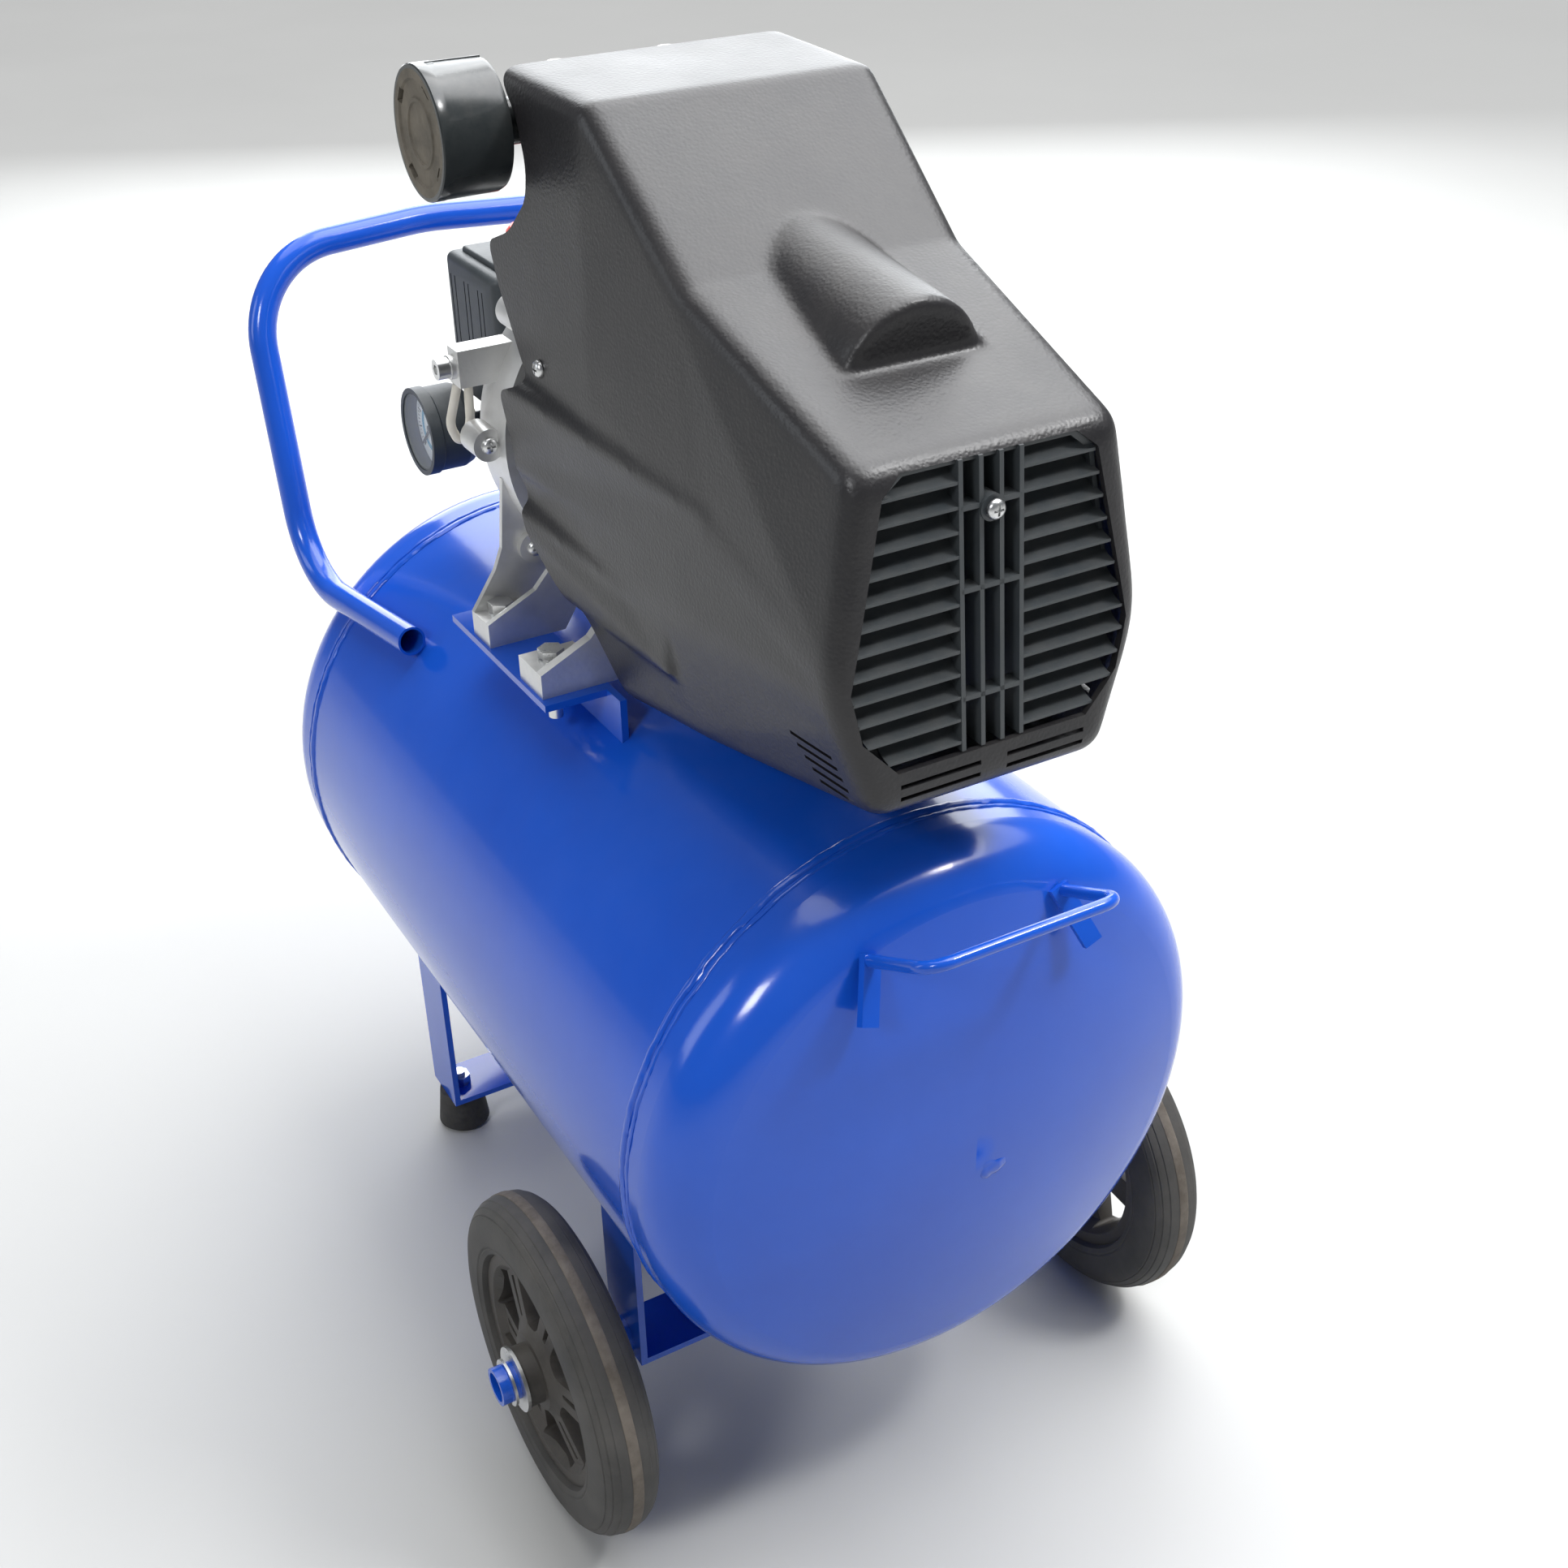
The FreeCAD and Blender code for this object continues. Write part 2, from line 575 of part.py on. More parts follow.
def make_cylinder():
    """Finned cylinder, valve plate and finned head on four long bolts."""
    centre_x = "tank_x + cylinder_x"

    def block(half, low, high):
        return box((f"{centre_x} - ({half})", f"-({half})", low), f"2 * ({half})", f"2 * ({half})", high)

    core = [rod((centre_x, 0, "deck_z"), "+z", "bore_radius + 6", "plate_z - deck_z"),
            block("block_half", "deck_z", 6), block("block_half", "plate_z - 8", 8)]
    fins = [block("block_half - 1", f"deck_z + {10 + 8 * i}", 3) for i in range(6)]
    bore = rod((centre_x, 0, "deck_z - 5"), "+z", "bore_radius", 90)
    spots = [(f"{centre_x} + {i} * 31", f"{j} * 31") for i in (-1, 1) for j in (-1, 1)]
    holes = [rod((x, y, "deck_z - 5"), "+z", 3.2, 130) for x, y in spots]
    node("cylinder", cut(fuse(*core, *fins), bore, *holes))

    plate = block("block_half + 1", "plate_z", "plate_thick")
    ports = [rod((f"{centre_x} + {i} * 10", 0, "plate_z - 2"), "+z", 4, 20) for i in (-1, 1)]
    holes = [rod((x, y, "plate_z - 5"), "+z", 3.2, 20) for x, y in spots]
    node("valve_plate", cut(plate, *ports, *holes))

    base = "plate_z + plate_thick"
    cap = block("head_half", base, "head_rise - 14")
    ribs = [box((f"{centre_x} - head_half", f"-head_half + {4 + 10 * i}", base), "2 * head_half", 3.2,
                "head_rise") for i in range(8)]
    chambers = [box((f"{centre_x} {x}", -20, f"{base} - 1"), 18, 40, 20) for x in ("- 22", "+ 4")]
    inlet = rod((f"{centre_x} - 12", -19, "filter_z - 12"), "-y", 7, 30)
    pillars = [rod((x, y, base), "+z", 8, "head_rise") for x, y in spots]
    holes = [rod((x, y, "plate_z"), "+z", 3.2, 80) for x, y in spots]
    node("cylinder_head", cut(fuse(cap, *ribs, *pillars), *chambers, *holes, inlet))
    bolts = []
    for x, y in spots:
        shank = rod((x, y, "deck_z"), "+z", 3, "plate_z - deck_z + plate_thick + head_rise + 1")
        head = rod((x, y, f"{base} + head_rise"), "+z", 5, 5)
        bolts.append(fuse(shank, head))
    node("head_bolts", group(*bolts))


def make_filter():
    """Intake filter drum on a short neck at the left of the head."""
    at = ("tank_x + cylinder_x", "-head_half", "filter_z")
    neck_end = "filter_back - head_half"
    body = turned(at, "-y", [
        ("neck_radius - 3", "0"), ("neck_radius", "0"), ("neck_radius", neck_end),
        ("filter_radius - 4", neck_end), ("filter_radius", f"{neck_end} + 4"),
        ("filter_radius", f"{neck_end} + filter_length"),
        ("filter_radius - 2", f"{neck_end} + filter_length"),
        ("filter_radius - 2", f"{neck_end} + 3"), ("neck_radius - 3", f"{neck_end} + 3")])
    node("filter_body", body)
    face = ("tank_x + cylinder_x", "-filter_back - filter_length + 4", "filter_z")
    cap = turned(face, "-y", [("0", "0"), ("filter_radius - 2", "0"), ("filter_radius - 2", "4"),
                              ("filter_radius - 8", "4"), ("filter_radius - 10", "2.6"), ("0", "2.6")])
    slots = []
    for i in range(4):
        angle = math.radians(45 + 90 * i)
        dx, dz = 25 * math.cos(angle), 25 * math.sin(angle)
        slots.append(rod((f"tank_x + cylinder_x + {dx:.2f}", "-filter_back - filter_length + 10",
                          f"filter_z + {dz:.2f}"), "-y", 2, 12))
    node("filter_cap", cut(cap, *slots))


# ---------------------------------------------------------------- motor
def make_motor():
    """Stator, windings and end shield round the rotor, with the crank and the fan on its shaft."""
    centre = (0, "crank_z")
    start = ("tank_x + stator_start", *centre)
    stack = rod(start, "+x", "stator_radius", "stator_length")
    node("stator", cut(stack, rod(start, "+x", "rotor_radius + 0.5", "stator_length")))
    coils = []
    for at_x, toward in (("tank_x + stator_start", "-x"), ("tank_x + stator_start + stator_length", "+x")):
        coils.append(turned((at_x, *centre), toward, [
            ("rotor_radius + 4", "0"), ("chamber_radius - 2", "0"), ("chamber_radius - 2", "14"),
            ("chamber_radius - 6", "20"), ("rotor_radius + 8", "20"), ("rotor_radius + 4", "14")]))
    node("windings", group(*coils))
    shield = turned(("tank_x + stator_start + stator_length", *centre), "+x", [
        ("shaft_radius + running_gap", "24"), ("shaft_radius + running_gap", "40"), ("20", "40"),
        ("24", "30"), ("stator_radius - 6", "30"), ("stator_radius", "22"), ("stator_radius", "0"),
        ("chamber_radius + 1", "0"), ("chamber_radius + 1", "24")])
    windows = [rod(polar_at("tank_x + stator_start + stator_length + 20", 42, 60 * i + 30), "+x", 8, 20)
               for i in range(6)]
    node("motor_shield", cut(shield, *windows))
    studs = []
    for i in range(4):
        spot = stud_spot(i, "tank_x + 28")
        far = fuse(rod(spot, "+x", 2.5, 128), hexagon(spot, "+x", 5.2, 6),
                   hexagon((f"({spot[0]}) + 122", spot[1], spot[2]), "+x", 5.2, 5))
        studs.append(far)
    node("motor_studs", group(*studs))

    shaft = [
        rod(("tank_x - 2", *centre), "+x", "shaft_radius", "fan_station + 18"),
        rod(("tank_x - 10", *centre), "+x", 30, 8),
        rod(("tank_x - 18", 0, "crank_z + throw"), "+x", 7, 9),
    ]
    relief = [rod(("tank_x - 11", f"{side} * 26", "crank_z + 14"), "+x", 12, 9.5) for side in (-1, 1)]
    node("crankshaft", cut(fuse(*shaft), *relief))
    spot = ("tank_x + stator_start + 2", *centre)
    core = rod(spot, "+x", "rotor_radius", "stator_length - 4")
    node("rotor", cut(core, rod(spot, "+x", "shaft_radius", "stator_length")))
    formed("fan", fan_shape())


def polar_at(at_x, radius, degrees):
    """Point on a circle round the crank axis."""
    angle = math.radians(degrees)
    return (at_x, f"{radius * math.cos(angle):.3f}", f"crank_z + {radius * math.sin(angle):.3f}")


def fan_shape():
    """Axial fan: a hub and nine flat blades set at an angle."""
    axis = Vector(size("fan_station"), 0, size("crank_z"))
    hub = Part.makeCylinder(16, 16, axis - X * 8, X)
    fan = hub
    for i in range(9):
        blade = Part.makeBox(20, 2.2, size("fan_radius") - 12, Vector(-10, -1.1, 12))
        blade.rotate(Vector(), Z, 32)
        blade.rotate(Vector(), X, 40 * i)
        blade.translate(axis)
        fan = fan.fuse(blade)
    rim = Part.makeCylinder(size("fan_radius"), 40, axis - X * 20, X)
    bore = Part.makeCylinder(size("shaft_radius"), 60, axis - X * 30, X)
    return fan.common(rim).cut(bore).removeSplitter()


def make_piston():
    """Piston and rod; the rod's eye lies just beyond the end of the crank pin."""
    centre_x = "tank_x + cylinder_x"
    crown = rod((centre_x, 0, "plate_z - 32"), "+z", "bore_radius - running_gap", 30)
    hollow = rod((centre_x, 0, "plate_z - 33"), "+z", "bore_radius - 4", 25)
    node("piston", cut(crown, hollow))
    eye_z = "crank_z + throw"
    eye_x = f"{centre_x} - 11"
    eye = rod((eye_x, 0, eye_z), "+x", 14, 13)
    shank = box((f"{eye_x} + 2", -6, f"{eye_z} + 10"), 9, 12, "plate_z - 10 - crank_z - throw - 8")
    node("connecting_rod", cut(fuse(eye, shank), rod((eye_x, 0, eye_z), "+x", 7.4, 13),
                               rod((centre_x, 0, "plate_z - 10"), "+z", "bore_radius", 20)))


def make_capacitor():
    """Run capacitor lying under the hump of the shroud."""
    can = turned(("tank_x + 128", 0, 656), "+x", [
        ("0", "0"), ("19", "0"), ("21", "2"), ("21", "84"), ("19", "86"), ("0", "86")])
    node("capacitor", can)


# ---------------------------------------------------------------- shroud and grille
def shroud_sections(inset):
    """Half outlines (y, z) of the shroud at stations along X, moved inwards by a wall."""
    stations = [
        (-45, [(80, 750), (83, 605), (84, 520), (72, 452)]),
        (72, [(78, 747), (84, 604), (84, 520), (72, 446)]),
        (154, [(74, 685), (82, 590), (83, 530), (70, 460)]),
        (278, [(67, 646), (80, 560), (79, 540), (62, 488)]),
    ]
    rings = []
    for x, half in stations:
        (ty, tz), (uy, uz), (my, mz), (by, bz) = half
        rings.append((x, [(ty - inset, tz - inset), (uy - inset, uz), (my - inset, mz),
                          (by - inset * 0.9, bz + inset)]))
    front_top = 284 - inset
    front_low = 297 - inset
    rings.append(((front_top, front_low), [(66 - inset, 641 - inset), (81 - inset, 556), (78 - inset, 538),
                                           (61 - inset * 0.9, 487 + inset)]))
    return rings


def shroud_block(inset, back=None):
    """Solid lofted through the outlines."""
    wires = []
    for x, half in shroud_sections(inset):
        corners = []
        outline = [(y, z) for y, z in half] + [(-y, z) for y, z in reversed(half)]
        for y, z in outline:
            if isinstance(x, tuple):
                top_x, low_x = x
                share = (half[0][1] - z) / (half[0][1] - half[3][1])
                at_x = top_x + (low_x - top_x) * share
            else:
                at_x = x if back is None or x > 0 else back
            corners.append(Vector(at_x, y, z))
        wires.append(Part.makePolygon(corners + [corners[0]]))
    return Part.makeLoft(wires, True, True)


def opening_outline():
    """Corners (y, z) of the grille opening, right half then left."""
    half = [(44, 639), (54, 631), (72, 550), (67, 526), (50, 508)]
    return half + [(-y, z) for y, z in reversed(half)]


def opening_prism(start_x, length, shrink=0.0):
    """Block with the outline of the grille opening."""
    corners = []
    for y, z in opening_outline():
        corners.append(Vector(start_x, y - math.copysign(shrink, y), z + (shrink if z < 560 else -shrink)))
    face = Part.Face(Part.makePolygon(corners + [corners[0]]))
    return face.extrude(X * length)


def make_shroud():
    """Moulded cover over motor and cylinder, open at the back, with a hump for the capacitor."""
    skin = size("skin")
    outer = shroud_block(0.0)
    hump_axis = Vector(112, 0, 668)
    slope = Rotation(Y, 8).multVec(X)
    hump = Part.makeCylinder(36, 114, hump_axis, slope)
    outer = outer.fuse(hump)
    inner = shroud_block(skin, back=-80)
    inner = inner.fuse(Part.makeCylinder(36 - skin, 112 - skin, hump_axis, slope))
    shell = outer.cut(inner)
    shell = shell.cut(opening_prism(270, 60))
    edge = [(-90, 790), (-13, 790), (-13, 747), (4, 730), (12, 708), (9, 692), (-14, 672), (-40, 662),
            (-30, 640), (-8, 612), (2, 600), (-18, 592), (-19, 543), (-9, 536), (-8, 522), (14, 500),
            (24, 493), (44, 480), (75, 447), (75, 380), (-90, 380)]
    corners = [Vector(x, -150, z) for x, z in edge]
    back_cut = Part.Face(Part.makePolygon(corners + [corners[0]])).extrude(Y * 300)
    shell = shell.cut(back_cut)
    belly = Part.makeBox(140, 120, 60, Vector(60, -60, 420))
    shell = shell.cut(belly)
    for i in range(5):
        for side in (-1, 1):
            slot = Part.makeBox(24, 12, 2.4, Vector(252 + 2 * i, -6, 508 - 5 * i))
            slot.translate(Vector(0, side * 76, 0))
            shell = shell.cut(slot)
    for row in range(2):
        for side in (-1, 1):
            slot = Part.makeBox(12, 34, 2.4, Vector(288, -17, 500 - 6 * row))
            slot.translate(Vector(0, side * 24, 0))
            shell = shell.cut(slot)
    for x, y, z in side_screw_spots():
        shell = shell.cut(Part.makeCylinder(2.2, 24, Vector(x, y - 12, z), Y))
    formed("shroud", shell.removeSplitter())


def make_grille():
    """Louvred grille held in the opening by one screw."""
    depth = 9
    pieces = []
    rise = 142
    lean = math.radians(size("grille_lean"))
    front_top = Vector(284, 0, 641)

    def face_x(z):
        return front_top.x + (front_top.z - z) * math.tan(lean)

    for y in (-15.3, -5.1, 5.1, 15.3):
        bar = Part.makeBox(depth + 3, 2.4, rise, Vector(-depth - 4, y - 1.2, -rise))
        bar.rotate(Vector(), Y, -size("grille_lean"))
        bar.translate(Vector(front_top.x, 0, front_top.z))
        pieces.append(bar)
    for z in (618, 582, 533):
        pieces.append(Part.makeBox(depth - 1, 32, 2.2, Vector(face_x(z) - depth, -16, z)))
    count = int((639 - 508) / size("slat_pitch")) + 1
    for i in range(count):
        z = 634 - size("slat_pitch") * i
        for side in (-1, 1):
            slat = Part.makeBox(11, 66, 1.8, Vector(-11, 0, -0.9))
            slat.rotate(Vector(), Y, 38)
            slat.translate(Vector(face_x(z) - 1.5, 15 if side > 0 else -81, z - 3))
            pieces.append(slat)
    frame_out = opening_prism(270, 40, 0.3)
    frame_in = opening_prism(269, 42, 2.2)
    lip = Part.makeBox(7, 200, 200, Vector(-12, -100, -180))
    lip.rotate(Vector(), Y, -size("grille_lean"))
    lip.translate(front_top)
    frame = frame_out.cut(frame_in).common(lip)
    body = frame
    for piece in pieces:
        body = body.fuse(piece)
    body = body.common(frame_out)
    boss = Part.makeCylinder(6, 10, Vector(face_x(628) - 11, 0, 616), X)
    body = body.fuse(boss)
    body = body.cut(Part.makeCylinder(2.2, 30, Vector(270, 0, 616), X))
    formed("grille", body.removeSplitter())


def side_screw_spots():
    """Screws that hold the shroud's sides, on its back edge."""
    return [(17, side * 83.4, 612) for side in (-1, 1)]


def make_pan_screws():
    """Pan-head screws: six round the crankcase cover, two in the shroud's sides and one in the grille."""
    screws = []
    for y, z in case_screw_spots():
        shank = rod(("tank_x - 60", y, z), "+x", 2.4, 19)
        screws.append(fuse(shank, cone(("tank_x - 42", y, z), "+x", 4.6, 2.6, 3.2)))
    for x, y, z in side_screw_spots():
        toward = "+y" if y > 0 else "-y"
        inner_y = y - math.copysign(8, y)
        screws.append(fuse(rod((f"tank_x + {x}", inner_y, z), toward, 2, 9),
                           cone((f"tank_x + {x}", y, z), toward, 4.6, 2.8, 2.8)))
    spot = ("tank_x + 279", 0, 616)
    screws.append(fuse(rod(spot, "+x", 2, 10), cone(("tank_x + 287.6", 0, 616), "+x", 4.6, 2.8, 2.8)))
    node("pan_screws", group(*screws))


# ---------------------------------------------------------------- air line and pressure switch
def make_air_line():
    """Delivery pipe from the head to the check valve on the receiver."""
    x, y = size("valve_x"), size("valve_y")
    top = size("plate_z") + size("plate_thick") + 18
    start = size("cylinder_x") - size("head_half")
    corners = [Vector(start, y, top), Vector(x, y, top), Vector(x, y, 492)]
    outer = bent_bar(corners, [22], 5)
    inner = bent_bar(corners, [22], 3.8)
    formed("delivery_pipe", outer.cut(inner))
    at = ("tank_x + valve_x", "valve_y")
    base = "tank_z + tank_radius - 2"
    body = fuse(rod((*at, base), "+z", "socket_bore", 16), hexagon((*at, f"{base} + 12"), "+z", 14, 22),
                rod((*at, f"{base} + 32"), "+z", 9, 16), hexagon((*at, f"{base} + 46"), "+z", 11, 10))
    way = rod((*at, f"{base} + 20"), "+z", 5, 60)
    node("check_valve", cut(body, way))


def make_switch():
    """Pressure switch on its manifold: base, ribbed cover and cable glands."""
    at = ("tank_x + switch_x", "switch_y")
    base = "tank_z + tank_radius"
    block = box(("tank_x + switch_x - 32", "switch_y - 20", "manifold_z"), 60, 40,
                "switch_z - manifold_z - 3")
    riser = rod((*at, f"{base} - 2"), "+z", "socket_bore", "manifold_z - tank_z - tank_radius + 3")
    collar = hexagon((*at, f"{base} + socket_rise"), "+z", 15, 14)
    neck = rod((*at, f"{base} + 20"), "+z", 11, "manifold_z - tank_z - tank_radius - 19")
    way = rod((*at, f"{base} - 4"), "+z", 4.5, 80)
    node("manifold", cut(fuse(block, riser, collar, neck), way))

    low = ("tank_x + switch_x - switch_long / 2", "switch_y - switch_wide / 2")
    plate = box((*low, "switch_z"), "switch_long", "switch_wide", 12)
    foot = rod((*at, "switch_z - 3"), "+z", 17, 4)
    node("switch_base", fuse(plate, foot))
    lid = box((f"{low[0]} - 1", f"{low[1]} - 1", "switch_z + 12"), "switch_long + 2", "switch_wide + 2",
              "switch_rise - 12")
    hollow = box((f"{low[0]} + 2", f"{low[1]} + 2", "switch_z + 12"), "switch_long - 4", "switch_wide - 4",
                 "switch_rise - 15")
    grooves = []
    for i in range(6):
        for y in ("switch_y - switch_wide / 2 - 2", "switch_y + switch_wide / 2 + 0.2"):
            corner = (f"{low[0]} + {7 + 10 * i}", y, "switch_z + 12")
            grooves.append(box(corner, 2.2, 1.8, "switch_rise - 18"))
    knob_hole = rod((*at, "switch_z + switch_rise - 10"), "+z", 8, 20)
    node("switch_cover", cut(lid, hollow, knob_hole, *grooves))
    top = "switch_z + switch_rise"
    node("switch_knob", turned((*at, top), "+z", [
        ("0", "-12"), ("7", "-12"), ("7", "1.5"), ("15", "1.5"), ("16.5", "4"), ("16.5", "10"),
        ("14", "13"),
        ("0", "13")]))
    glands = []
    for shift in (-22, 18):
        spot = ("tank_x + switch_x - switch_long / 2", f"switch_y + {shift}", "switch_z + 6")
        outer = fuse(rod(spot, "-x", 6, 18), hexagon((f"{spot[0]} - 2", spot[1], spot[2]), "-x", 9.5, 5),
                     cone((f"{spot[0]} - 9", spot[1], spot[2]), "-x", 8.5, 6, 11))
        glands.append(cut(outer, rod(spot, "-x", 3.6, 30)))
    node("cable_glands", group(*glands))


def make_gauge():
    """Round gauge on the left of the manifold."""
    back = ("tank_x + gauge_x", "-gauge_front + gauge_depth", "gauge_z")
    case = turned(back, "-y", [
        ("0", "0"), ("14", "0"), ("gauge_radius - 3", "5"), ("gauge_radius - 1", "10"),
        ("gauge_radius - 1", "gauge_depth - 8"), ("gauge_radius", "gauge_depth - 7"),
        ("gauge_radius", "gauge_depth"), ("gauge_radius - 3", "gauge_depth"),
        ("gauge_radius - 3", "gauge_depth - 10"), ("0", "gauge_depth - 10")])
    stem = rod(("tank_x + gauge_x", "switch_y - 20", "gauge_z"), "-y", 5, "gauge_front - gauge_depth - 24")
    node("gauge_case", fuse(case, stem))
    face = "-gauge_front + 10"
    node("gauge_dial", rod(("tank_x + gauge_x", face, "gauge_z"), "-y", "gauge_radius - 3.2", 1))
    window = ("tank_x + gauge_x", "-gauge_front + 3", "gauge_z")
    node("gauge_glass", rod(window, "-y", "gauge_radius - 3.1", 2))
    spot = ("tank_x + gauge_x", f"{face} - 1.4", "gauge_z")
    zero_turn = math.radians(45)
    corner_x = -0.6 * math.cos(zero_turn) - 17 * math.sin(zero_turn)
    corner_z = 0.6 * math.sin(zero_turn) - 17 * math.cos(zero_turn)
    pointer = box((f"{spot[0]} + {corner_x:.3f}", f"{face} - 3", f"gauge_z + {corner_z:.3f}"), 1.2, 1, 22)
    pointer.Placement.Rotation = Rotation(Y, 45)
    node("gauge_needle", fuse(rod(spot, "-y", 2.4, 1.6), pointer))


def make_outlet():
    """Regulator with its knob, the outlet coupler and the safety valve."""
    at = ("tank_x + switch_x + 8", "regulator_y")
    body = turned((*at, "manifold_z - 8"), "+z", [
        ("0", "0"), ("16", "0"), ("20", "6"), ("20", "34"), ("17", "40"), ("10", "40"), ("10", "46"),
        ("0", "46")])
    arm = rod(("tank_x + switch_x + 8", "switch_y + 20", "manifold_z + 14"), "+y", 9, 30)
    outlet = rod((f"{at[0]} - 15", "regulator_y", "manifold_z + 14"), "-x", 9, 16)
    node("regulator", cut(fuse(body, arm, outlet), rod((*at, "manifold_z + 30"), "+z", 4, 20)))
    knob = turned((*at, "manifold_z + 32.6"), "+z", [
        ("10.5", "0"), ("16", "0"), ("17", "3"), ("16", "24"), ("13", "27"), ("0", "27"), ("0", "6.2"),
        ("10.5", "6.2")])
    node("regulator_knob", knob)
    spot = (f"{at[0]} - 31", "regulator_y", "manifold_z + 14")
    core = turned(spot, "-x", [("5.3", "0"), ("11", "0"), ("11", "7"), ("8", "9"), ("8", "32"),
                               ("5.3", "32")])
    node("coupler", core)
    sleeve = turned((f"{at[0]} - 41.5", "regulator_y", "manifold_z + 14"), "-x", [
        ("8.06", "0"), ("12", "0"), ("12.6", "3"), ("11.4", "6"), ("11.4", "12"), ("12.6", "14"),
        ("12", "17"), ("8.06", "17")])
    node("coupler_sleeve", sleeve)

    spot = ("tank_x + switch_x - 32", "switch_y + 8", "manifold_z + 15")
    valve = turned(spot, "-x", [("0", "0"), ("6", "0"), ("6", "5"), ("9", "5"), ("9", "13"), ("7.5", "14"),
                                ("7.5", "34"), ("2", "34"), ("2", "24"), ("0", "24")])
    node("safety_valve", valve)
    stem = rod((f"{spot[0]} - 26", spot[1], spot[2]), "-x", 1.9, 14)
    ring = doc.addObject("Part::Torus", "PullRing")
    ring.Radius1 = 9
    ring.Radius2 = 1.1
    place(ring, (f"{spot[0]} - 49", spot[1], spot[2]), "+y")
    node("safety_ring", fuse(stem, ring))


def make_drain():
    """Drain cock in the lowest point of the receiver."""
    at = ("tank_x", 0)
    low = "tank_z - tank_radius"
    node("drain_valve", turned((*at, f"{low} + 2"), "-z", [
        ("0", "0"), ("socket_bore", "0"), ("socket_bore", "12"), ("10", "12"), ("10", "20"), ("6", "21"),
        ("6", "27"), ("2.2", "27"), ("2.2", "17"), ("0", "17")]))
    node("drain_knob", fuse(rod((*at, f"{low} - 16"), "-z", 2.1, 16),
                            turned((*at, f"{low} - 26"), "-z", [
                                ("0", "0"), ("8", "0"), ("9.5", "2"), ("9.5", "9"), ("8", "11"),
                                 ("0", "11")])))


def make_breather():
    """Pale breather hose looping from the boss back to the side of the crankcase cover."""
    corners = [Vector(-63, -97.6, 583.1), Vector(-66.8, -103, 560), Vector(-67, -96.6, 545),
               Vector(-66.8, -91, 560), Vector(-63, -91.6, 583.1)]
    formed("breather_hose", bent_bar(corners, [14, 3.4, 14], 2.5))


# ---------------------------------------------------------------- build, check and write
make_receiver()
make_undercarriage()
make_wheel("wheel_left", -1, "-y")
make_wheel("wheel_right", 1, "+y")
make_handles()
make_rails()
make_crankcase()
make_foot_bolts()
make_cylinder()
make_filter()
make_motor()
make_piston()
make_capacitor()
make_shroud()
make_grille()
make_pan_screws()
make_air_line()
make_switch()
make_gauge()
make_outlet()
make_drain()
make_breather()
doc.recompute()

for item in doc.Objects:
    if "Invalid" in item.State or "Error" in item.State:
        raise RuntimeError(f"{item.Name} ({item.Label}) did not build: {item.State}")
os.makedirs("parts", exist_ok=True)
total = FreeCAD.BoundBox()
for item in NODES:
    shape = item.Shape
    if shape.isNull() or not shape.isValid() or not shape.Solids:
        raise RuntimeError(f"{item.Label} is not a valid solid")
    shape.exportStep(f"parts/{item.Label}.step")
    total.add(shape.BoundBox)
    print(f"{item.Label}: {len(shape.Solids)} solid(s), {shape.Volume / 1000:.1f} cm3")
print(f"{len(NODES)} nodes, x {total.XMin:.1f}..{total.XMax:.1f}, y {total.YMin:.1f}..{total.YMax:.1f}, "
      f"z {total.ZMin:.1f}..{total.ZMax:.1f}")
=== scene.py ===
# %% [markdown]
# # A wheeled workshop air compressor
# The CAD frame gives every piece its place and size. This lesson loads it, gives each
# part a finish built from shader nodes, and models again the parts whose looks depend
# on soft edges, mouldings or wear. Lengths in the text are millimetres; Blender works
# in metres, so the helper MM turns one into the other.

# %% Load the frame
import json
import math

import bmesh
import bpy
from mathutils import Matrix, Vector, noise


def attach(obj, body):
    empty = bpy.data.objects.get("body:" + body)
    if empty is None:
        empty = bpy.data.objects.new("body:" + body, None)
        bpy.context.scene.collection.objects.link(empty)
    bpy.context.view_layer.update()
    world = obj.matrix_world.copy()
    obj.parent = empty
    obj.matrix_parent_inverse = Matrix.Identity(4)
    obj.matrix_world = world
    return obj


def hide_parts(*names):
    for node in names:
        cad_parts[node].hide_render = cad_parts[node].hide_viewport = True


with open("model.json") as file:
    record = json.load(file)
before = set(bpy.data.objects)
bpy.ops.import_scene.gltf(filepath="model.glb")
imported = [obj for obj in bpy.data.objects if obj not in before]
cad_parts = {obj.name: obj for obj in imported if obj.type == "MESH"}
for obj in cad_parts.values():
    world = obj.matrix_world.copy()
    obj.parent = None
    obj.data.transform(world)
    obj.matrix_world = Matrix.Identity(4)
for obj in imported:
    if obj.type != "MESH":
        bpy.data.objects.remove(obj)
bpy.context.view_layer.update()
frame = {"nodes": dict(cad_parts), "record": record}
nodes = frame["nodes"]
scene = bpy.context.scene
scene.view_settings.view_transform = "Standard"
MM = 0.001
TANK_X = 16.3
TANK_Z = 271
TANK_RADIUS = 165
CRANK_Z = 552.0


def spot(x, y, z):
    """Point from a station along the receiver, a side and a height, in millimetres."""
    return Vector((x + TANK_X, y, z)) * MM


# %% [markdown]
# ## Finishes: the shared effects
# Paint, moulded plastic and castings are never one flat tone. Three small node groups
# are used by many finishes: one gives a fine surface grain as a bump height, one gives
# a slow mottling between two tones, and one finds where dust settles. An image texture
# could do the same, but noise nodes need no file and have no seams.

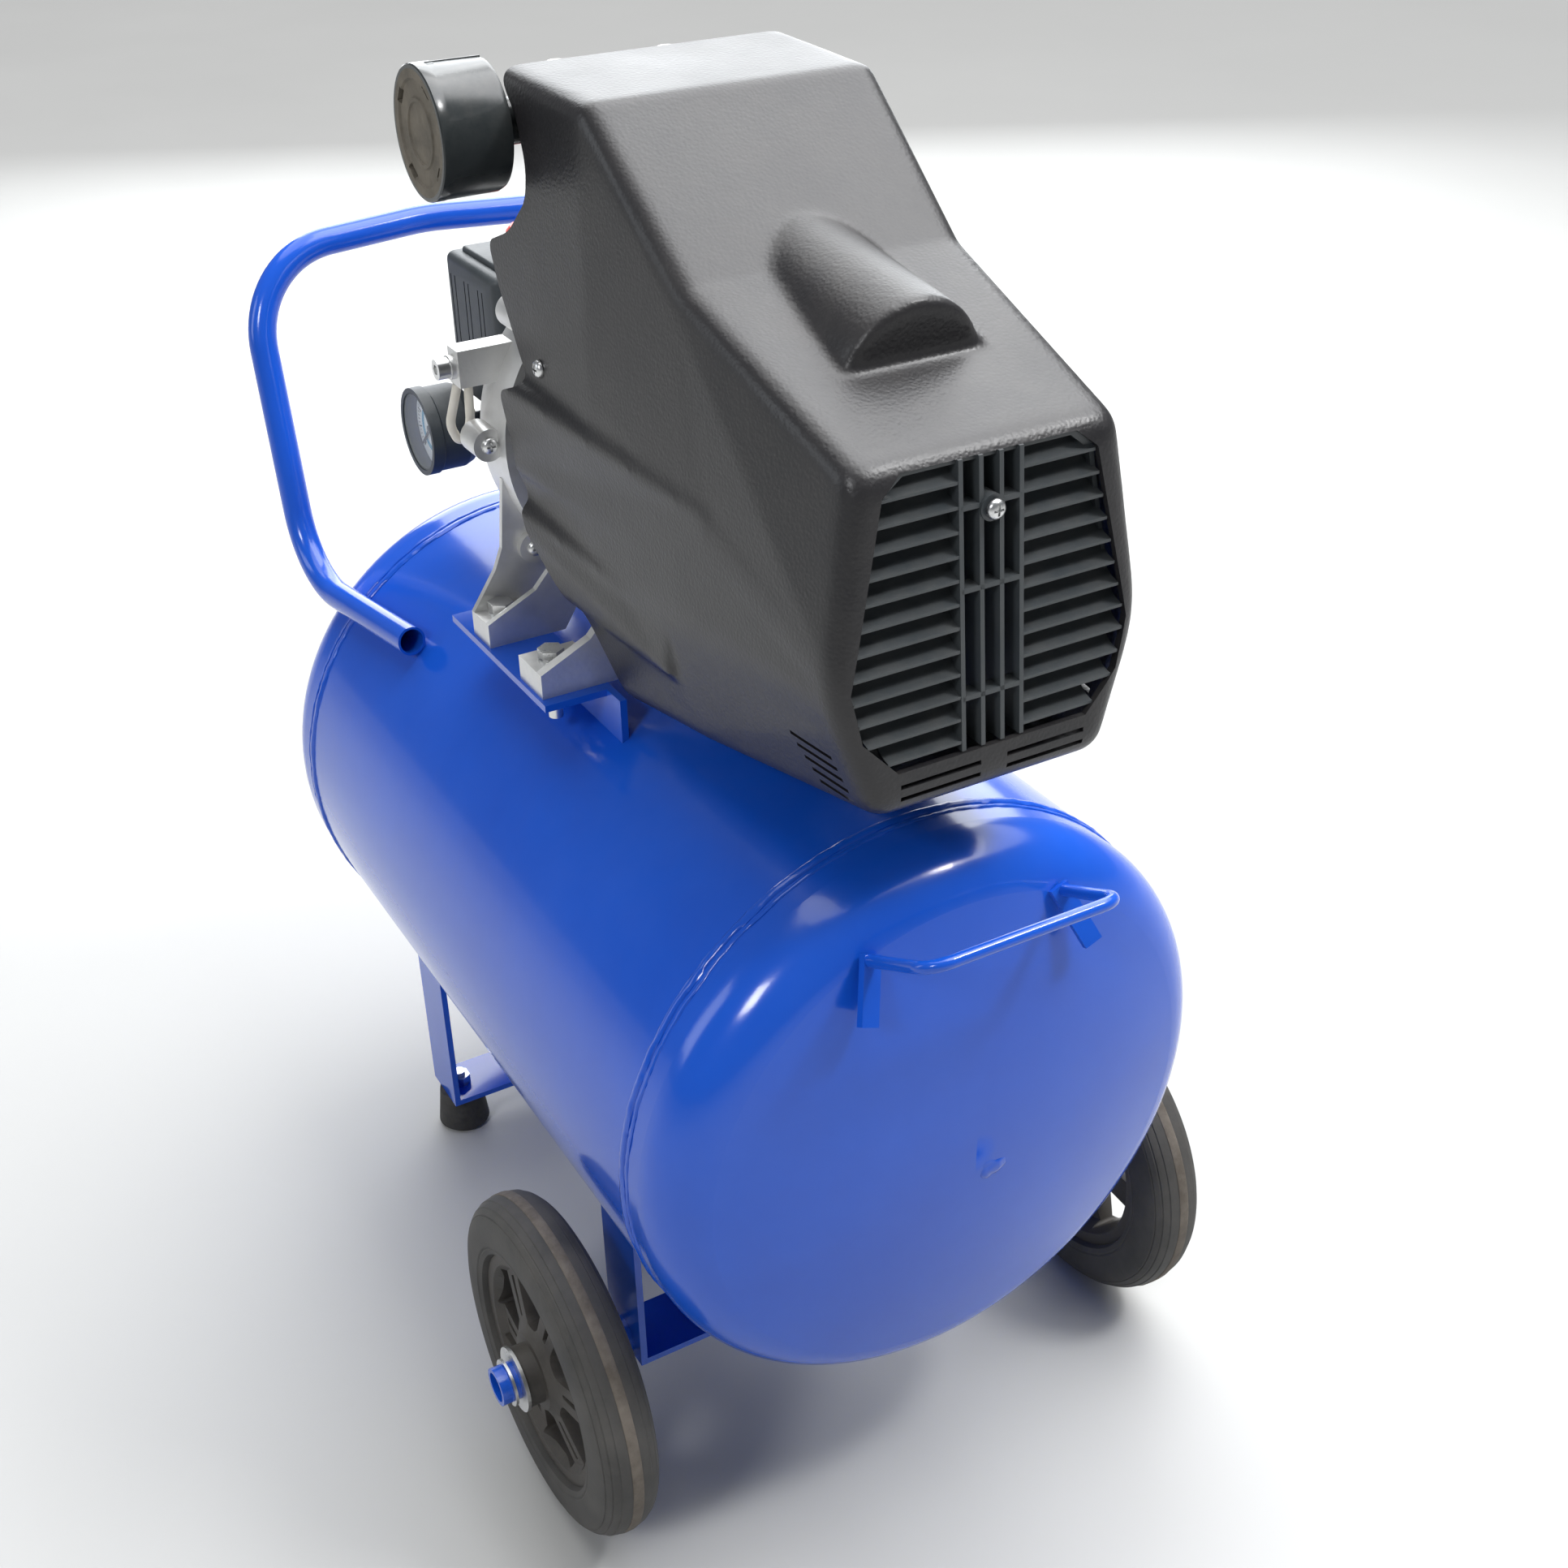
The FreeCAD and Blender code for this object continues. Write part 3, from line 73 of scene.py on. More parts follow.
# %% Shared node groups
def new_group(name, inputs, outputs):
    """Empty shader node group with float inputs and named outputs."""
    group = bpy.data.node_groups.new(name, "ShaderNodeTree")
    for label, value in inputs:
        made = group.interface.new_socket(label, in_out="INPUT", socket_type="NodeSocketFloat")
        made.default_value = value
    for label in outputs:
        group.interface.new_socket(label, in_out="OUTPUT", socket_type="NodeSocketFloat")
    return group, group.nodes.new("NodeGroupInput"), group.nodes.new("NodeGroupOutput")


def grain_group():
    """Fine grain: a pebbled cell pattern and a finer noise, as one height from 0 to 1."""
    group, inside, outside = new_group("Surface grain", [("Scale", 900), ("Softness", 0.5)], ["Height"])
    place = group.nodes.new("ShaderNodeTexCoord")
    cells = group.nodes.new("ShaderNodeTexVoronoi")
    cells.feature = "SMOOTH_F1"
    fine = group.nodes.new("ShaderNodeTexNoise")
    fine.inputs["Detail"].default_value = 2
    blend = group.nodes.new("ShaderNodeMix")
    link = group.links.new
    link(place.outputs["Object"], cells.inputs["Vector"])
    link(place.outputs["Object"], fine.inputs["Vector"])
    link(inside.outputs["Scale"], cells.inputs["Scale"])
    link(inside.outputs["Scale"], fine.inputs["Scale"])
    link(inside.outputs["Softness"], blend.inputs["Factor"])
    link(cells.outputs["Distance"], blend.inputs["A"])
    link(fine.outputs["Fac"], blend.inputs["B"])
    link(blend.outputs["Result"], outside.inputs["Height"])
    return group


def mottle_group():
    """Slow change across the surface, from 0 to 1."""
    group, inside, outside = new_group("Mottling", [("Scale", 12), ("Contrast", 2)], ["Mask"])
    place = group.nodes.new("ShaderNodeTexCoord")
    clouds = group.nodes.new("ShaderNodeTexNoise")
    clouds.inputs["Detail"].default_value = 5
    clouds.inputs["Roughness"].default_value = 0.6
    centre = group.nodes.new("ShaderNodeMath")
    centre.operation = "SUBTRACT"
    centre.inputs[1].default_value = 0.5
    gain = group.nodes.new("ShaderNodeMath")
    gain.operation = "MULTIPLY_ADD"
    gain.inputs[2].default_value = 0.5
    gain.use_clamp = True
    link = group.links.new
    link(place.outputs["Object"], clouds.inputs["Vector"])
    link(inside.outputs["Scale"], clouds.inputs["Scale"])
    link(clouds.outputs["Fac"], centre.inputs[0])
    link(centre.outputs[0], gain.inputs[0])
    link(inside.outputs["Contrast"], gain.inputs[1])
    link(gain.outputs[0], outside.inputs["Mask"])
    return group


def dust_group():
    """Dust on upward faces, broken up by noise: 0 is clean."""
    group, inside, outside = new_group("Settled dust", [("Scale", 30), ("Amount", 0.3)], ["Mask"])
    place = group.nodes.new("ShaderNodeTexCoord")
    facing = group.nodes.new("ShaderNodeNewGeometry")
    split = group.nodes.new("ShaderNodeSeparateXYZ")
    up = group.nodes.new("ShaderNodeMapRange")
    up.inputs["From Min"].default_value = -0.6
    specks = group.nodes.new("ShaderNodeTexNoise")
    specks.inputs["Detail"].default_value = 8
    specks.inputs["Roughness"].default_value = 0.7
    patchy = group.nodes.new("ShaderNodeMapRange")
    patchy.inputs["From Min"].default_value = 0.35
    patchy.inputs["From Max"].default_value = 0.75
    both = group.nodes.new("ShaderNodeMath")
    both.operation = "MULTIPLY"
    scaled = group.nodes.new("ShaderNodeMath")
    scaled.operation = "MULTIPLY"
    link = group.links.new
    link(place.outputs["Object"], specks.inputs["Vector"])
    link(inside.outputs["Scale"], specks.inputs["Scale"])
    link(facing.outputs["Normal"], split.inputs["Vector"])
    link(split.outputs["Z"], up.inputs["Value"])
    link(specks.outputs["Fac"], patchy.inputs["Value"])
    link(up.outputs["Result"], both.inputs[0])
    link(patchy.outputs["Result"], both.inputs[1])
    link(both.outputs[0], scaled.inputs[0])
    link(inside.outputs["Amount"], scaled.inputs[1])
    link(scaled.outputs[0], outside.inputs["Mask"])
    return group


GRAIN, MOTTLE, DUST = grain_group(), mottle_group(), dust_group()
print("node groups:", [g.name for g in bpy.data.node_groups])


# %% [markdown]
# ## Finishes: one builder for all
# Every finish is a Principled BSDF whose colour slides between two tones, gains some
# dust, and whose roughness and bump vary too. What is the same all over, such as metal
# or coat strength, is set on the shader's own sockets.

# %% Finish builder
def use_group(tree, group, **values):
    """Place a shared effect in a material with its own values."""
    item = tree.nodes.new("ShaderNodeGroup")
    item.node_tree = group
    for label, value in values.items():
        item.inputs[label].default_value = value
    return item


def finish(name, tone, second, rough, metal=0.0, coat=0.0, mottle=12, contrast=2.0, grain=900,
           softness=0.5, bump=0.1, depth=0.3, dust=0.1, dust_tone=(0.30, 0.27, 0.23), spread=0.12):
    """Procedural finish: tones are linear RGB, depth is the bump's height in millimetres."""
    material = bpy.data.materials.new(name)
    material.use_nodes = True
    tree = material.node_tree
    shader = tree.nodes["Principled BSDF"]
    shader.inputs["Metallic"].default_value = metal
    shader.inputs["Coat Weight"].default_value = coat
    shader.inputs["Coat Roughness"].default_value = 0.06
    link = tree.links.new
    clouds = use_group(tree, MOTTLE, Scale=mottle, Contrast=contrast)
    settled = use_group(tree, DUST, Scale=mottle * 3, Amount=dust)
    pebbles = use_group(tree, GRAIN, Scale=grain, Softness=softness)
    tones = tree.nodes.new("ShaderNodeMix")
    tones.data_type = "RGBA"
    tones.inputs["A"].default_value = (*tone, 1)
    tones.inputs["B"].default_value = (*second, 1)
    dusty = tree.nodes.new("ShaderNodeMix")
    dusty.data_type = "RGBA"
    dusty.inputs["B"].default_value = (*dust_tone, 1)
    link(clouds.outputs["Mask"], tones.inputs["Factor"])
    link(tones.outputs["Result"], dusty.inputs["A"])
    link(settled.outputs["Mask"], dusty.inputs["Factor"])
    link(dusty.outputs["Result"], shader.inputs["Base Color"])
    roughness = tree.nodes.new("ShaderNodeMapRange")
    roughness.inputs["To Min"].default_value = max(0.03, rough - spread / 2)
    roughness.inputs["To Max"].default_value = min(1.0, rough + spread / 2)
    link(clouds.outputs["Mask"], roughness.inputs["Value"])
    link(roughness.outputs["Result"], shader.inputs["Roughness"])
    relief = tree.nodes.new("ShaderNodeBump")
    relief.inputs["Strength"].default_value = bump
    relief.inputs["Distance"].default_value = depth * MM
    link(pebbles.outputs["Height"], relief.inputs["Height"])
    link(relief.outputs["Normal"], shader.inputs["Normal"])
    return material


# %% [markdown]
# ## Finishes: the list
# The receiver's blue enamel is glossy with a slight orange-peel skin. The covers are
# moulded black plastic with a pebbled grain and a soft sheen. Castings are satin and a
# little uneven, fasteners are zinc plated, and the running gear is dusty.

# %% All finishes
FINISH = {
    "blue_paint": finish("Blue enamel", (0.004, 0.070, 0.49), (0.006, 0.095, 0.60), 0.16, coat=0.15,
                         mottle=6, grain=160, softness=0.9, bump=0.10, depth=0.4, dust=0.03),
    "shroud_plastic": finish("Grained black plastic", (0.011, 0.011, 0.013), (0.017, 0.016, 0.018), 0.38,
                             mottle=9, grain=620, softness=0.3, bump=0.55, depth=0.35, dust=0.06),
    "grille_plastic": finish("Satin black plastic", (0.036, 0.043, 0.048), (0.055, 0.063, 0.069), 0.34,
                             mottle=20, grain=900, bump=0.12, dust=0.12),
    "filter_plastic": finish("Glossy black plastic", (0.020, 0.025, 0.027), (0.030, 0.035, 0.037), 0.22,
                             mottle=30, grain=300, bump=0.10, dust=0.12),
    "switch_plastic": finish("Slate plastic", (0.022, 0.029, 0.034), (0.032, 0.039, 0.046), 0.45,
                             mottle=25, grain=800, bump=0.25, dust=0.25, dust_tone=(0.16, 0.17, 0.17)),
    "dusty_plastic": finish("Dusty plastic", (0.075, 0.065, 0.048), (0.15, 0.13, 0.10), 0.75,
                            mottle=70, contrast=3, grain=900, bump=0.3, dust=0.4),
    "red_plastic": finish("Red plastic", (0.68, 0.035, 0.020), (0.80, 0.06, 0.04), 0.35,
                          mottle=40, bump=0.1, dust=0.03),
    "tyre_rubber": finish("Tyre rubber", (0.030, 0.030, 0.029), (0.075, 0.072, 0.068), 0.70,
                          mottle=22, contrast=3.0, grain=700, bump=0.3, dust=0.35,
                          dust_tone=(0.12, 0.105, 0.09)),
    "worn_rubber": finish("Worn brown rubber", (0.085, 0.070, 0.055), (0.14, 0.12, 0.10), 0.85,
                          mottle=60, contrast=4.0, grain=500, bump=0.6, dust=0.3),
    "rim_plastic": finish("Dusty rim plastic", (0.024, 0.022, 0.020), (0.060, 0.053, 0.046), 0.55,
                          mottle=25, contrast=3.0, grain=700, bump=0.3, dust=0.45,
                          dust_tone=(0.10, 0.088, 0.072)),
    "black_rubber": finish("Foot rubber", (0.020, 0.020, 0.020), (0.035, 0.034, 0.033), 0.75,
                           mottle=30, bump=0.3, dust=0.3),
    "zinc_steel": finish("Zinc plate", (0.62, 0.63, 0.64), (0.78, 0.78, 0.77), 0.30, metal=1.0,
                         mottle=60, grain=1200, softness=0.8, bump=0.08, dust=0.05),
    "cast_alloy": finish("Die-cast alloy", (0.62, 0.62, 0.61), (0.78, 0.78, 0.77), 0.42, metal=0.8,
                         mottle=30, contrast=2.5, grain=420, softness=0.6, bump=0.35, depth=0.4, dust=0.12),
    "dark_steel": finish("Laminated steel", (0.16, 0.16, 0.165), (0.24, 0.24, 0.24), 0.45, metal=0.9,
                         mottle=40, bump=0.2, dust=0.1),
    "copper_wire": finish("Enamelled wire", (0.45, 0.16, 0.06), (0.58, 0.23, 0.09), 0.35, metal=0.8,
                          mottle=120, grain=350, bump=0.6, depth=0.8),
    "pipe_alloy": finish("Drawn tube", (0.68, 0.68, 0.67), (0.80, 0.80, 0.79), 0.28, metal=1.0,
                         mottle=50, bump=0.06, dust=0.08),
    "brass_fitting": finish("Machined brass", (0.62, 0.42, 0.16), (0.74, 0.54, 0.24), 0.28, metal=1.0,
                            mottle=60, bump=0.05, dust=0.08),
    "pale_hose": finish("Cream hose", (0.66, 0.62, 0.54), (0.74, 0.71, 0.64), 0.45,
                        mottle=60, bump=0.1, dust=0.1),
    "dial_white": finish("Printed dial", (0.78, 0.84, 0.88), (0.86, 0.89, 0.90), 0.4,
                         mottle=60, bump=0.02, dust=0.02),
    "needle_black": finish("Black ink", (0.012, 0.012, 0.012), (0.02, 0.02, 0.02), 0.4,
                           mottle=80, bump=0.02, dust=0.0),
}
glass = finish("Clear window", (0.90, 0.93, 0.95), (0.93, 0.95, 0.96), 0.05, mottle=40, bump=0.0, dust=0.02)
glass.node_tree.nodes["Principled BSDF"].inputs["Alpha"].default_value = 0.14
FINISH["clear_glass"] = glass
print(len(FINISH), "finishes")

# %% Dress the CAD nodes by their slots
SLOT = {row["node"]: row["material_slot"] for row in frame["record"]["subparts"]}
for label, item in nodes.items():
    item.data.materials.clear()
    item.data.materials.append(FINISH[SLOT[label]])
print("dressed", len(SLOT), "nodes")


# %% [markdown]
# ## Working with bmesh
# Each new piece starts as a bmesh. These helpers turn it into a finished object with its
# place in the mesh, smooth faces and sharp edges where two faces meet at a real corner,
# hang it on the body that carries it, and hide the CAD solids it stands in for.

# %% Piece helpers
def mesh_object(bm, name, outward=True):
    """Object from a working mesh, which is freed."""
    if outward:
        bmesh.ops.recalc_face_normals(bm, faces=bm.faces)
    mesh = bpy.data.meshes.new(name)
    bm.to_mesh(mesh)
    bm.free()
    item = bpy.data.objects.new(name, mesh)
    scene.collection.objects.link(item)
    return item


def new_verts(grown):
    """Vertices made by an extrusion."""
    return [v for v in grown["geom"] if isinstance(v, bmesh.types.BMVert)]


def sculpted(item, kind, **settings):
    """Add a modifier to an object and set it."""
    modifier = item.modifiers.new(kind.title(), kind)
    for label, value in settings.items():
        setattr(modifier, label, value)
    return modifier


def frozen(item):
    """Apply an object's modifiers to its mesh."""
    graph = bpy.context.evaluated_depsgraph_get()
    mesh = bpy.data.meshes.new_from_object(item.evaluated_get(graph))
    item.modifiers.clear()
    item.data = mesh
    return item


def carve(item, tools, operation="DIFFERENCE"):
    """Cut tools from an object, or join them to it, and throw the tools away."""
    for tool in tools:
        sculpted(item, "BOOLEAN", operation=operation, object=tool, solver="EXACT")
        frozen(item)
        bpy.data.objects.remove(tool)
    return item


def keep(item, body, slot, *replaced, angle=35, material=None):
    """Finish a piece: smooth its faces, dress it, tie it to its body and hide the CAD nodes it replaces."""
    item.data.materials.clear()
    item.data.materials.append(material or FINISH[slot])
    item.data.shade_smooth()
    item.data.set_sharp_from_angle(angle=math.radians(angle))
    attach(item, body)
    if replaced:
        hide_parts(*replaced)
    print(item.name, len(item.data.polygons), "faces")
    return item


def lathe(name, profile, at, axis, steps=96):
    """Ring or disc spun from a profile of (radius, height) in millimetres, open along the axis."""
    bm = bmesh.new()
    out = Vector(axis).orthogonal().normalized()
    points = [bm.verts.new(at + (out * r + Vector(axis) * h) * MM) for r, h in profile]
    ring = points if profile[0][0] == 0 else points + points[:1]
    edges = [bm.edges.new(pair) for pair in zip(ring, ring[1:])]
    bmesh.ops.spin(bm, geom=points + edges, cent=at, axis=axis, angle=math.tau, steps=steps, use_merge=True)
    bmesh.ops.remove_doubles(bm, verts=bm.verts, dist=1e-6)
    return mesh_object(bm, name)


def block(name, low, high, width=0.0, segments=2):
    """Box between two corners, given in millimetres, with rounded edges."""
    bm = bmesh.new()
    low, high = spot(*low), spot(*high)
    bmesh.ops.create_cube(bm, size=1)
    bmesh.ops.scale(bm, vec=high - low, verts=bm.verts)
    bmesh.ops.translate(bm, vec=(high + low) / 2, verts=bm.verts)
    if width:
        bmesh.ops.bevel(bm, geom=bm.edges[:], offset=width * MM, segments=segments, profile=0.5,
                        affect="EDGES", material=-1)
    return mesh_object(bm, name)


def plate(name, corners, along):
    """Prism from an outline of points, pushed along a vector."""
    bm = bmesh.new()
    face = bm.faces.new([bm.verts.new(p) for p in corners])
    grown = bmesh.ops.extrude_face_region(bm, geom=[face])
    bmesh.ops.translate(bm, vec=along, verts=new_verts(grown))
    return mesh_object(bm, name)


# %% [markdown]
# ## Camera, floor and light
# The camera looks down on the machine from beside its grille end, as a standing person
# would. Big soft lamps and a hazy sun give the long gentle highlights that show the enamel and the
# grain of the covers; the floor is plain and pale.

# %% Camera
YAW, PITCH, ROLL = 0.50639, 0.57385, -0.02369
ahead = Vector((-math.cos(YAW) * math.cos(PITCH), math.sin(YAW) * math.cos(PITCH), -math.sin(PITCH)))
level_right = ahead.cross(Vector((0, 0, 1))).normalized()
level_up = level_right.cross(ahead)
right = level_right * math.cos(ROLL) + level_up * math.sin(ROLL)
upward = level_up * math.cos(ROLL) - level_right * math.sin(ROLL)
camera = bpy.data.objects.new("Camera", bpy.data.cameras.new("Camera"))
scene.collection.objects.link(camera)
turn = Matrix((right, upward, -ahead)).transposed().to_4x4()
camera.matrix_world = Matrix.Translation((0.9138, -0.4538, 0.9398)) @ turn
camera.data.lens = 45.02
camera.data.shift_x = 0.0164
camera.data.shift_y = 0.0401
camera.data.clip_start = 0.01
scene.camera = camera
print("camera at", tuple(round(v, 3) for v in camera.location))

# %% Floor and lamps
bm = bmesh.new()
bmesh.ops.create_grid(bm, x_segments=1, y_segments=1, size=20)
floor = mesh_object(bm, "Floor", outward=False)
floor.data.materials.append(finish("Pale floor", (0.46, 0.46, 0.45), (0.49, 0.49, 0.48), 0.7, mottle=1.5,
                                   bump=0.02, dust=0.0))


def lamp(name, at, target, size, power, tint=(1, 1, 1)):
    """Square soft lamp aimed at a point."""
    light = bpy.data.lights.new(name, "AREA")
    light.shape = "RECTANGLE"
    light.size, light.size_y = size
    light.energy = power
    light.color = tint
    item = bpy.data.objects.new(name, light)
    item.location = at
    item.visible_camera = False
    item.rotation_euler = (Vector(target) - Vector(at)).to_track_quat("-Z", "Y").to_euler()
    scene.collection.objects.link(item)


lamp("Skylight", (-2.3, 1.2, 1.5), (0, 0, 0.6), (2.6, 2.2), 72, (0.95, 0.98, 1.0))
lamp("Ceiling", (0.1, 0.9, 2.5), (0.1, 0, 0.4), (2.2, 1.6), 42, (0.97, 0.98, 1.0))
lamp("Key", (1.3, -2.3, 2.3), (0.1, 0, 0.4), (0.6, 0.6), 26, (0.97, 0.98, 1.0))
lamp("Spots", (1.15, 1.2, 2.5), (0.2, 0, 0.4), (0.5, 0.3), 26)
lamp("Window", (-1.0, -2.2, 1.3), (0, 0, 0.4), (0.7, 1.2), 7, (0.9, 0.95, 1.0))
overcast = bpy.data.lights.new("Overcast", "SUN")
overcast.energy = 3.0
overcast.angle = math.radians(80)
above = bpy.data.objects.new("Overcast", overcast)
above.rotation_euler = (math.radians(-18), math.radians(-14), 0)
scene.collection.objects.link(above)
world = bpy.data.worlds.new("Studio")
world.use_nodes = True
sky = world.node_tree.nodes["Background"]
sky.inputs["Color"].default_value = (0.90, 0.94, 1.0, 1)
sky.inputs["Strength"].default_value = 0.2
scene.world = world
print("floor, five lamps, a soft sun and a pale sky")


# %% [markdown]
# ## The moulded shroud
# One big cover hides the motor and the cylinder. Its outline changes along its length,
# so a section is drawn at the back and extruded through each station, moving the new
# corners. A hump covers the capacitor, and two swells run forward from the back edge on
# each side. Joined and then remeshed with small voxels, they melt into each other as a
# moulding does; the inside, the vent and the slots are cut last so that they stay crisp.

# %% Shroud: solid form
STATIONS = [
    (-45, [(80, 750), (83, 605), (84, 520), (72, 452)]),
    (72, [(78, 747), (84, 604), (84, 520), (72, 446)]),
    (154, [(74, 685), (82, 590), (83, 530), (70, 460)]),
    (290, [(67, 642), (81, 557), (79, 539), (61, 487)]),
]
FRONT_TOP, FRONT_LOW = 284, 297


def shroud_form(name, inset, rounding, back):
    """Closed body through the stations, moved inwards by a wall."""
    bm = bmesh.new()
    last = None
    for station, half in STATIONS:
        side = [(y - inset, z - (inset if i == 0 else 0) + (inset if i == 3 else 0))
                for i, (y, z) in enumerate(half)]
        ring = side + [(-y, z) for y, z in reversed(side)]
        at_x = [back if station < 0 else station] * 8
        if station > 200:
            share = [(half[0][1] - z) / (half[0][1] - half[3][1]) for y, z in ring]
            at_x = [FRONT_TOP - inset + (FRONT_LOW - FRONT_TOP) * s for s in share]
        if last is None:
            last = bm.faces.new([bm.verts.new(spot(x, y, z)) for x, (y, z) in zip(at_x, ring)])
            continue
        order, old = list(last.verts), last
        grown = bmesh.ops.extrude_face_region(bm, geom=[last])
        last = [f for f in grown["geom"] if isinstance(f, bmesh.types.BMFace)][0]
        if old.is_valid and any(not e.is_manifold for e in old.edges):
            bm.faces.remove(old)
        moved = sorted(last.verts, key=lambda v: min(range(8), key=lambda i: (order[i].co - v.co).length))
        for vert, x, (y, z) in zip(moved, at_x, ring):
            vert.co = spot(x, y, z)
    if rounding:
        along = [e for e in bm.edges if abs((e.verts[0].co - e.verts[1].co).normalized().x) > 0.6]
        bmesh.ops.bevel(bm, geom=along, offset=rounding * MM, segments=7, profile=0.5,
                        affect="EDGES", material=-1, clamp_overlap=True)
        front = max(bm.faces, key=lambda f: f.calc_center_median().x)
        bmesh.ops.bevel(bm, geom=list(front.edges), offset=0.6 * rounding * MM, segments=5, profile=0.5,
                        affect="EDGES", material=-1, clamp_overlap=True)
    return mesh_object(bm, name)


def hump_form(name, radius, length):
    """Round-topped boss on a slope, its near end slightly rounded."""
    bm = bmesh.new()
    bmesh.ops.create_cone(bm, cap_ends=True, segments=64, radius1=radius * MM, radius2=radius * MM,
                          depth=length * MM)
    near = [e for e in bm.edges if e.verts[0].co.z > 0 and e.verts[1].co.z > 0]
    bmesh.ops.bevel(bm, geom=near, offset=2.5 * MM, segments=3, profile=0.5, affect="EDGES", material=-1)
    bmesh.ops.translate(bm, vec=(0, 0, length / 2 * MM), verts=bm.verts)
    bmesh.ops.rotate(bm, matrix=Matrix.Rotation(math.radians(98), 3, "Y"), verts=bm.verts)
    bmesh.ops.translate(bm, vec=spot(112, 0, 668), verts=bm.verts)
    return mesh_object(bm, name)


def swell_form(name, side, ridge_z, drop, reach, proud):
    """Shingle on the side: a ridge at its top, fading downwards and forwards."""
    bm = bmesh.new()
    corners = [(-70, 84 + proud, ridge_z), (-70, 76, ridge_z + 6), (-70, 76, ridge_z - drop),
               (-70, 83 + proud * 0.35, ridge_z - drop)]
    face = bm.faces.new([bm.verts.new(spot(x, side * y, z)) for x, y, z in corners])
    grown = bmesh.ops.extrude_face_region(bm, geom=[face])
    for v in new_verts(grown):
        v.co.x = spot(reach, 0, 0).x
        v.co.y = side * min(abs(v.co.y), 81.5 * MM)
        v.co.z = (ridge_z * MM + v.co.z * 3) / 4 - 4 * MM
    ridge = [e for e in bm.edges if abs(e.verts[0].co.x - e.verts[1].co.x) > 0.01
             and max(abs(v.co.y) for v in e.verts) > 0.0835]
    bmesh.ops.bevel(bm, geom=ridge, offset=3 * MM, segments=4, profile=0.5, affect="EDGES", material=-1)
    return mesh_object(bm, name)


# %% Shroud: melt, hollow and cut
cover = shroud_form("shroud_cover", 0, 20, -45)
carve(cover, [hump_form("hump", 36, 114)], "UNION")
swells = [swell_form("swell", side, *shape)
          for side in (-1, 1) for shape in ((599, 56, 185, 12), (531, 46, 140, 10))]
carve(cover, swells, "UNION")
VOXEL = 2.3
sculpted(cover, "REMESH", mode="VOXEL", voxel_size=VOXEL * MM)
sculpted(cover, "SMOOTH", factor=0.5, iterations=9)
frozen(cover)
hollow = shroud_form("hollow", 3, 18, -80)
carve(hollow, [hump_form("hump_hollow", 33, 109)], "UNION")
carve(cover, [hollow])
print("shell:", len(cover.data.polygons), "faces")

# %% Shroud: back edge, vent opening and slots
BACK_EDGE = [(-330, 790), (-13, 790), (-13, 747), (4, 730), (12, 708), (9, 692), (-14, 672), (-40, 662),
             (-30, 640), (-8, 612), (2, 600), (-18, 592), (-19, 543), (-9, 536), (-8, 522), (14, 500),
             (24, 493), (44, 480), (75, 447), (75, 380), (-330, 380)]
OPENING = [(44, 639), (54, 631), (72, 550), (67, 526), (50, 508)]
vent_ring = OPENING + [(-y, z) for y, z in reversed(OPENING)]
back_cut = plate("back_cut", [spot(x, -150, z) for x, z in BACK_EDGE], (0, 0.3, 0))
sculpted(back_cut, "BEVEL", width=9 * MM, segments=5, limit_method="ANGLE",
         angle_limit=math.radians(12))
frozen(back_cut)
cutters = [back_cut]
cutters.append(plate("vent_cut", [spot(255, y, z) for y, z in vent_ring], (0.08, 0, 0)))
cutters.append(block("belly_cut", (60, -60, 420), (200, 60, 480)))
for row in range(6):
    for side in (-1, 1):
        cutters.append(block("side_slot", (246 + 3 * row, side * 76 - 12, 512 - 5.4 * row),
                             (276 + 1.5 * row, side * 76 + 12, 514 - 5.4 * row)))
for row in range(2):
    for side in (-1, 1):
        height = 500 - 6 * row
        cutters.append(block("chin_slot", (280, side * 28 - 21, height),
                             (304, side * 28 + 21, height + 2.2)))
carve(cover, cutters)
keep(cover, "frame", "shroud_plastic", "shroud", angle=42)

# %% [markdown]
# ## The grille
# Two banks of louvres scoop air past four upright bars. Each louvre is a short curved
# profile: a strip of points pushed sideways to the width of the opening at its height.
# The bars and ties lean with the front of the shroud.

# %% Grille
LEAN = math.tan(math.radians(4.86))
LOUVRE_PITCH = 10.6
SCREW_Z = 616
TIP_Z = 641


def face_x(z):
    """Station of the leaning front at a height."""
    return FRONT_TOP + (TIP_Z - z) * LEAN


def half_width(z):
    """Half width of the vent opening at a height."""
    for (y0, z0), (y1, z1) in zip(OPENING, OPENING[1:]):
        if z1 <= z <= z0:
            return y0 + (y1 - y0) * (z0 - z) / (z0 - z1)
    return OPENING[0][0] if z > 600 else OPENING[-1][0]


def louvre(bm, z, side):
    """Curved scoop from the outer bar to the edge of the opening."""
    top = [(-11.5, 6.6), (-9, 3.4), (-6, 1.4), (-3, 0.4), (-1.2, 0.1)]
    line = top + [(-1.2, -1.3), (-3, -1.2), (-6, -0.3), (-9, 1.6), (-11.5, 5.0)]
    inner, outer = 15.8 * side, side * (half_width(z) - 0.6)
    face = bm.faces.new([bm.verts.new(spot(face_x(z) + x, inner, z + dz)) for x, dz in line])
    grown = bmesh.ops.extrude_face_region(bm, geom=[face])
    bmesh.ops.translate(bm, vec=(0, (outer - inner) * MM, 0), verts=new_verts(grown))


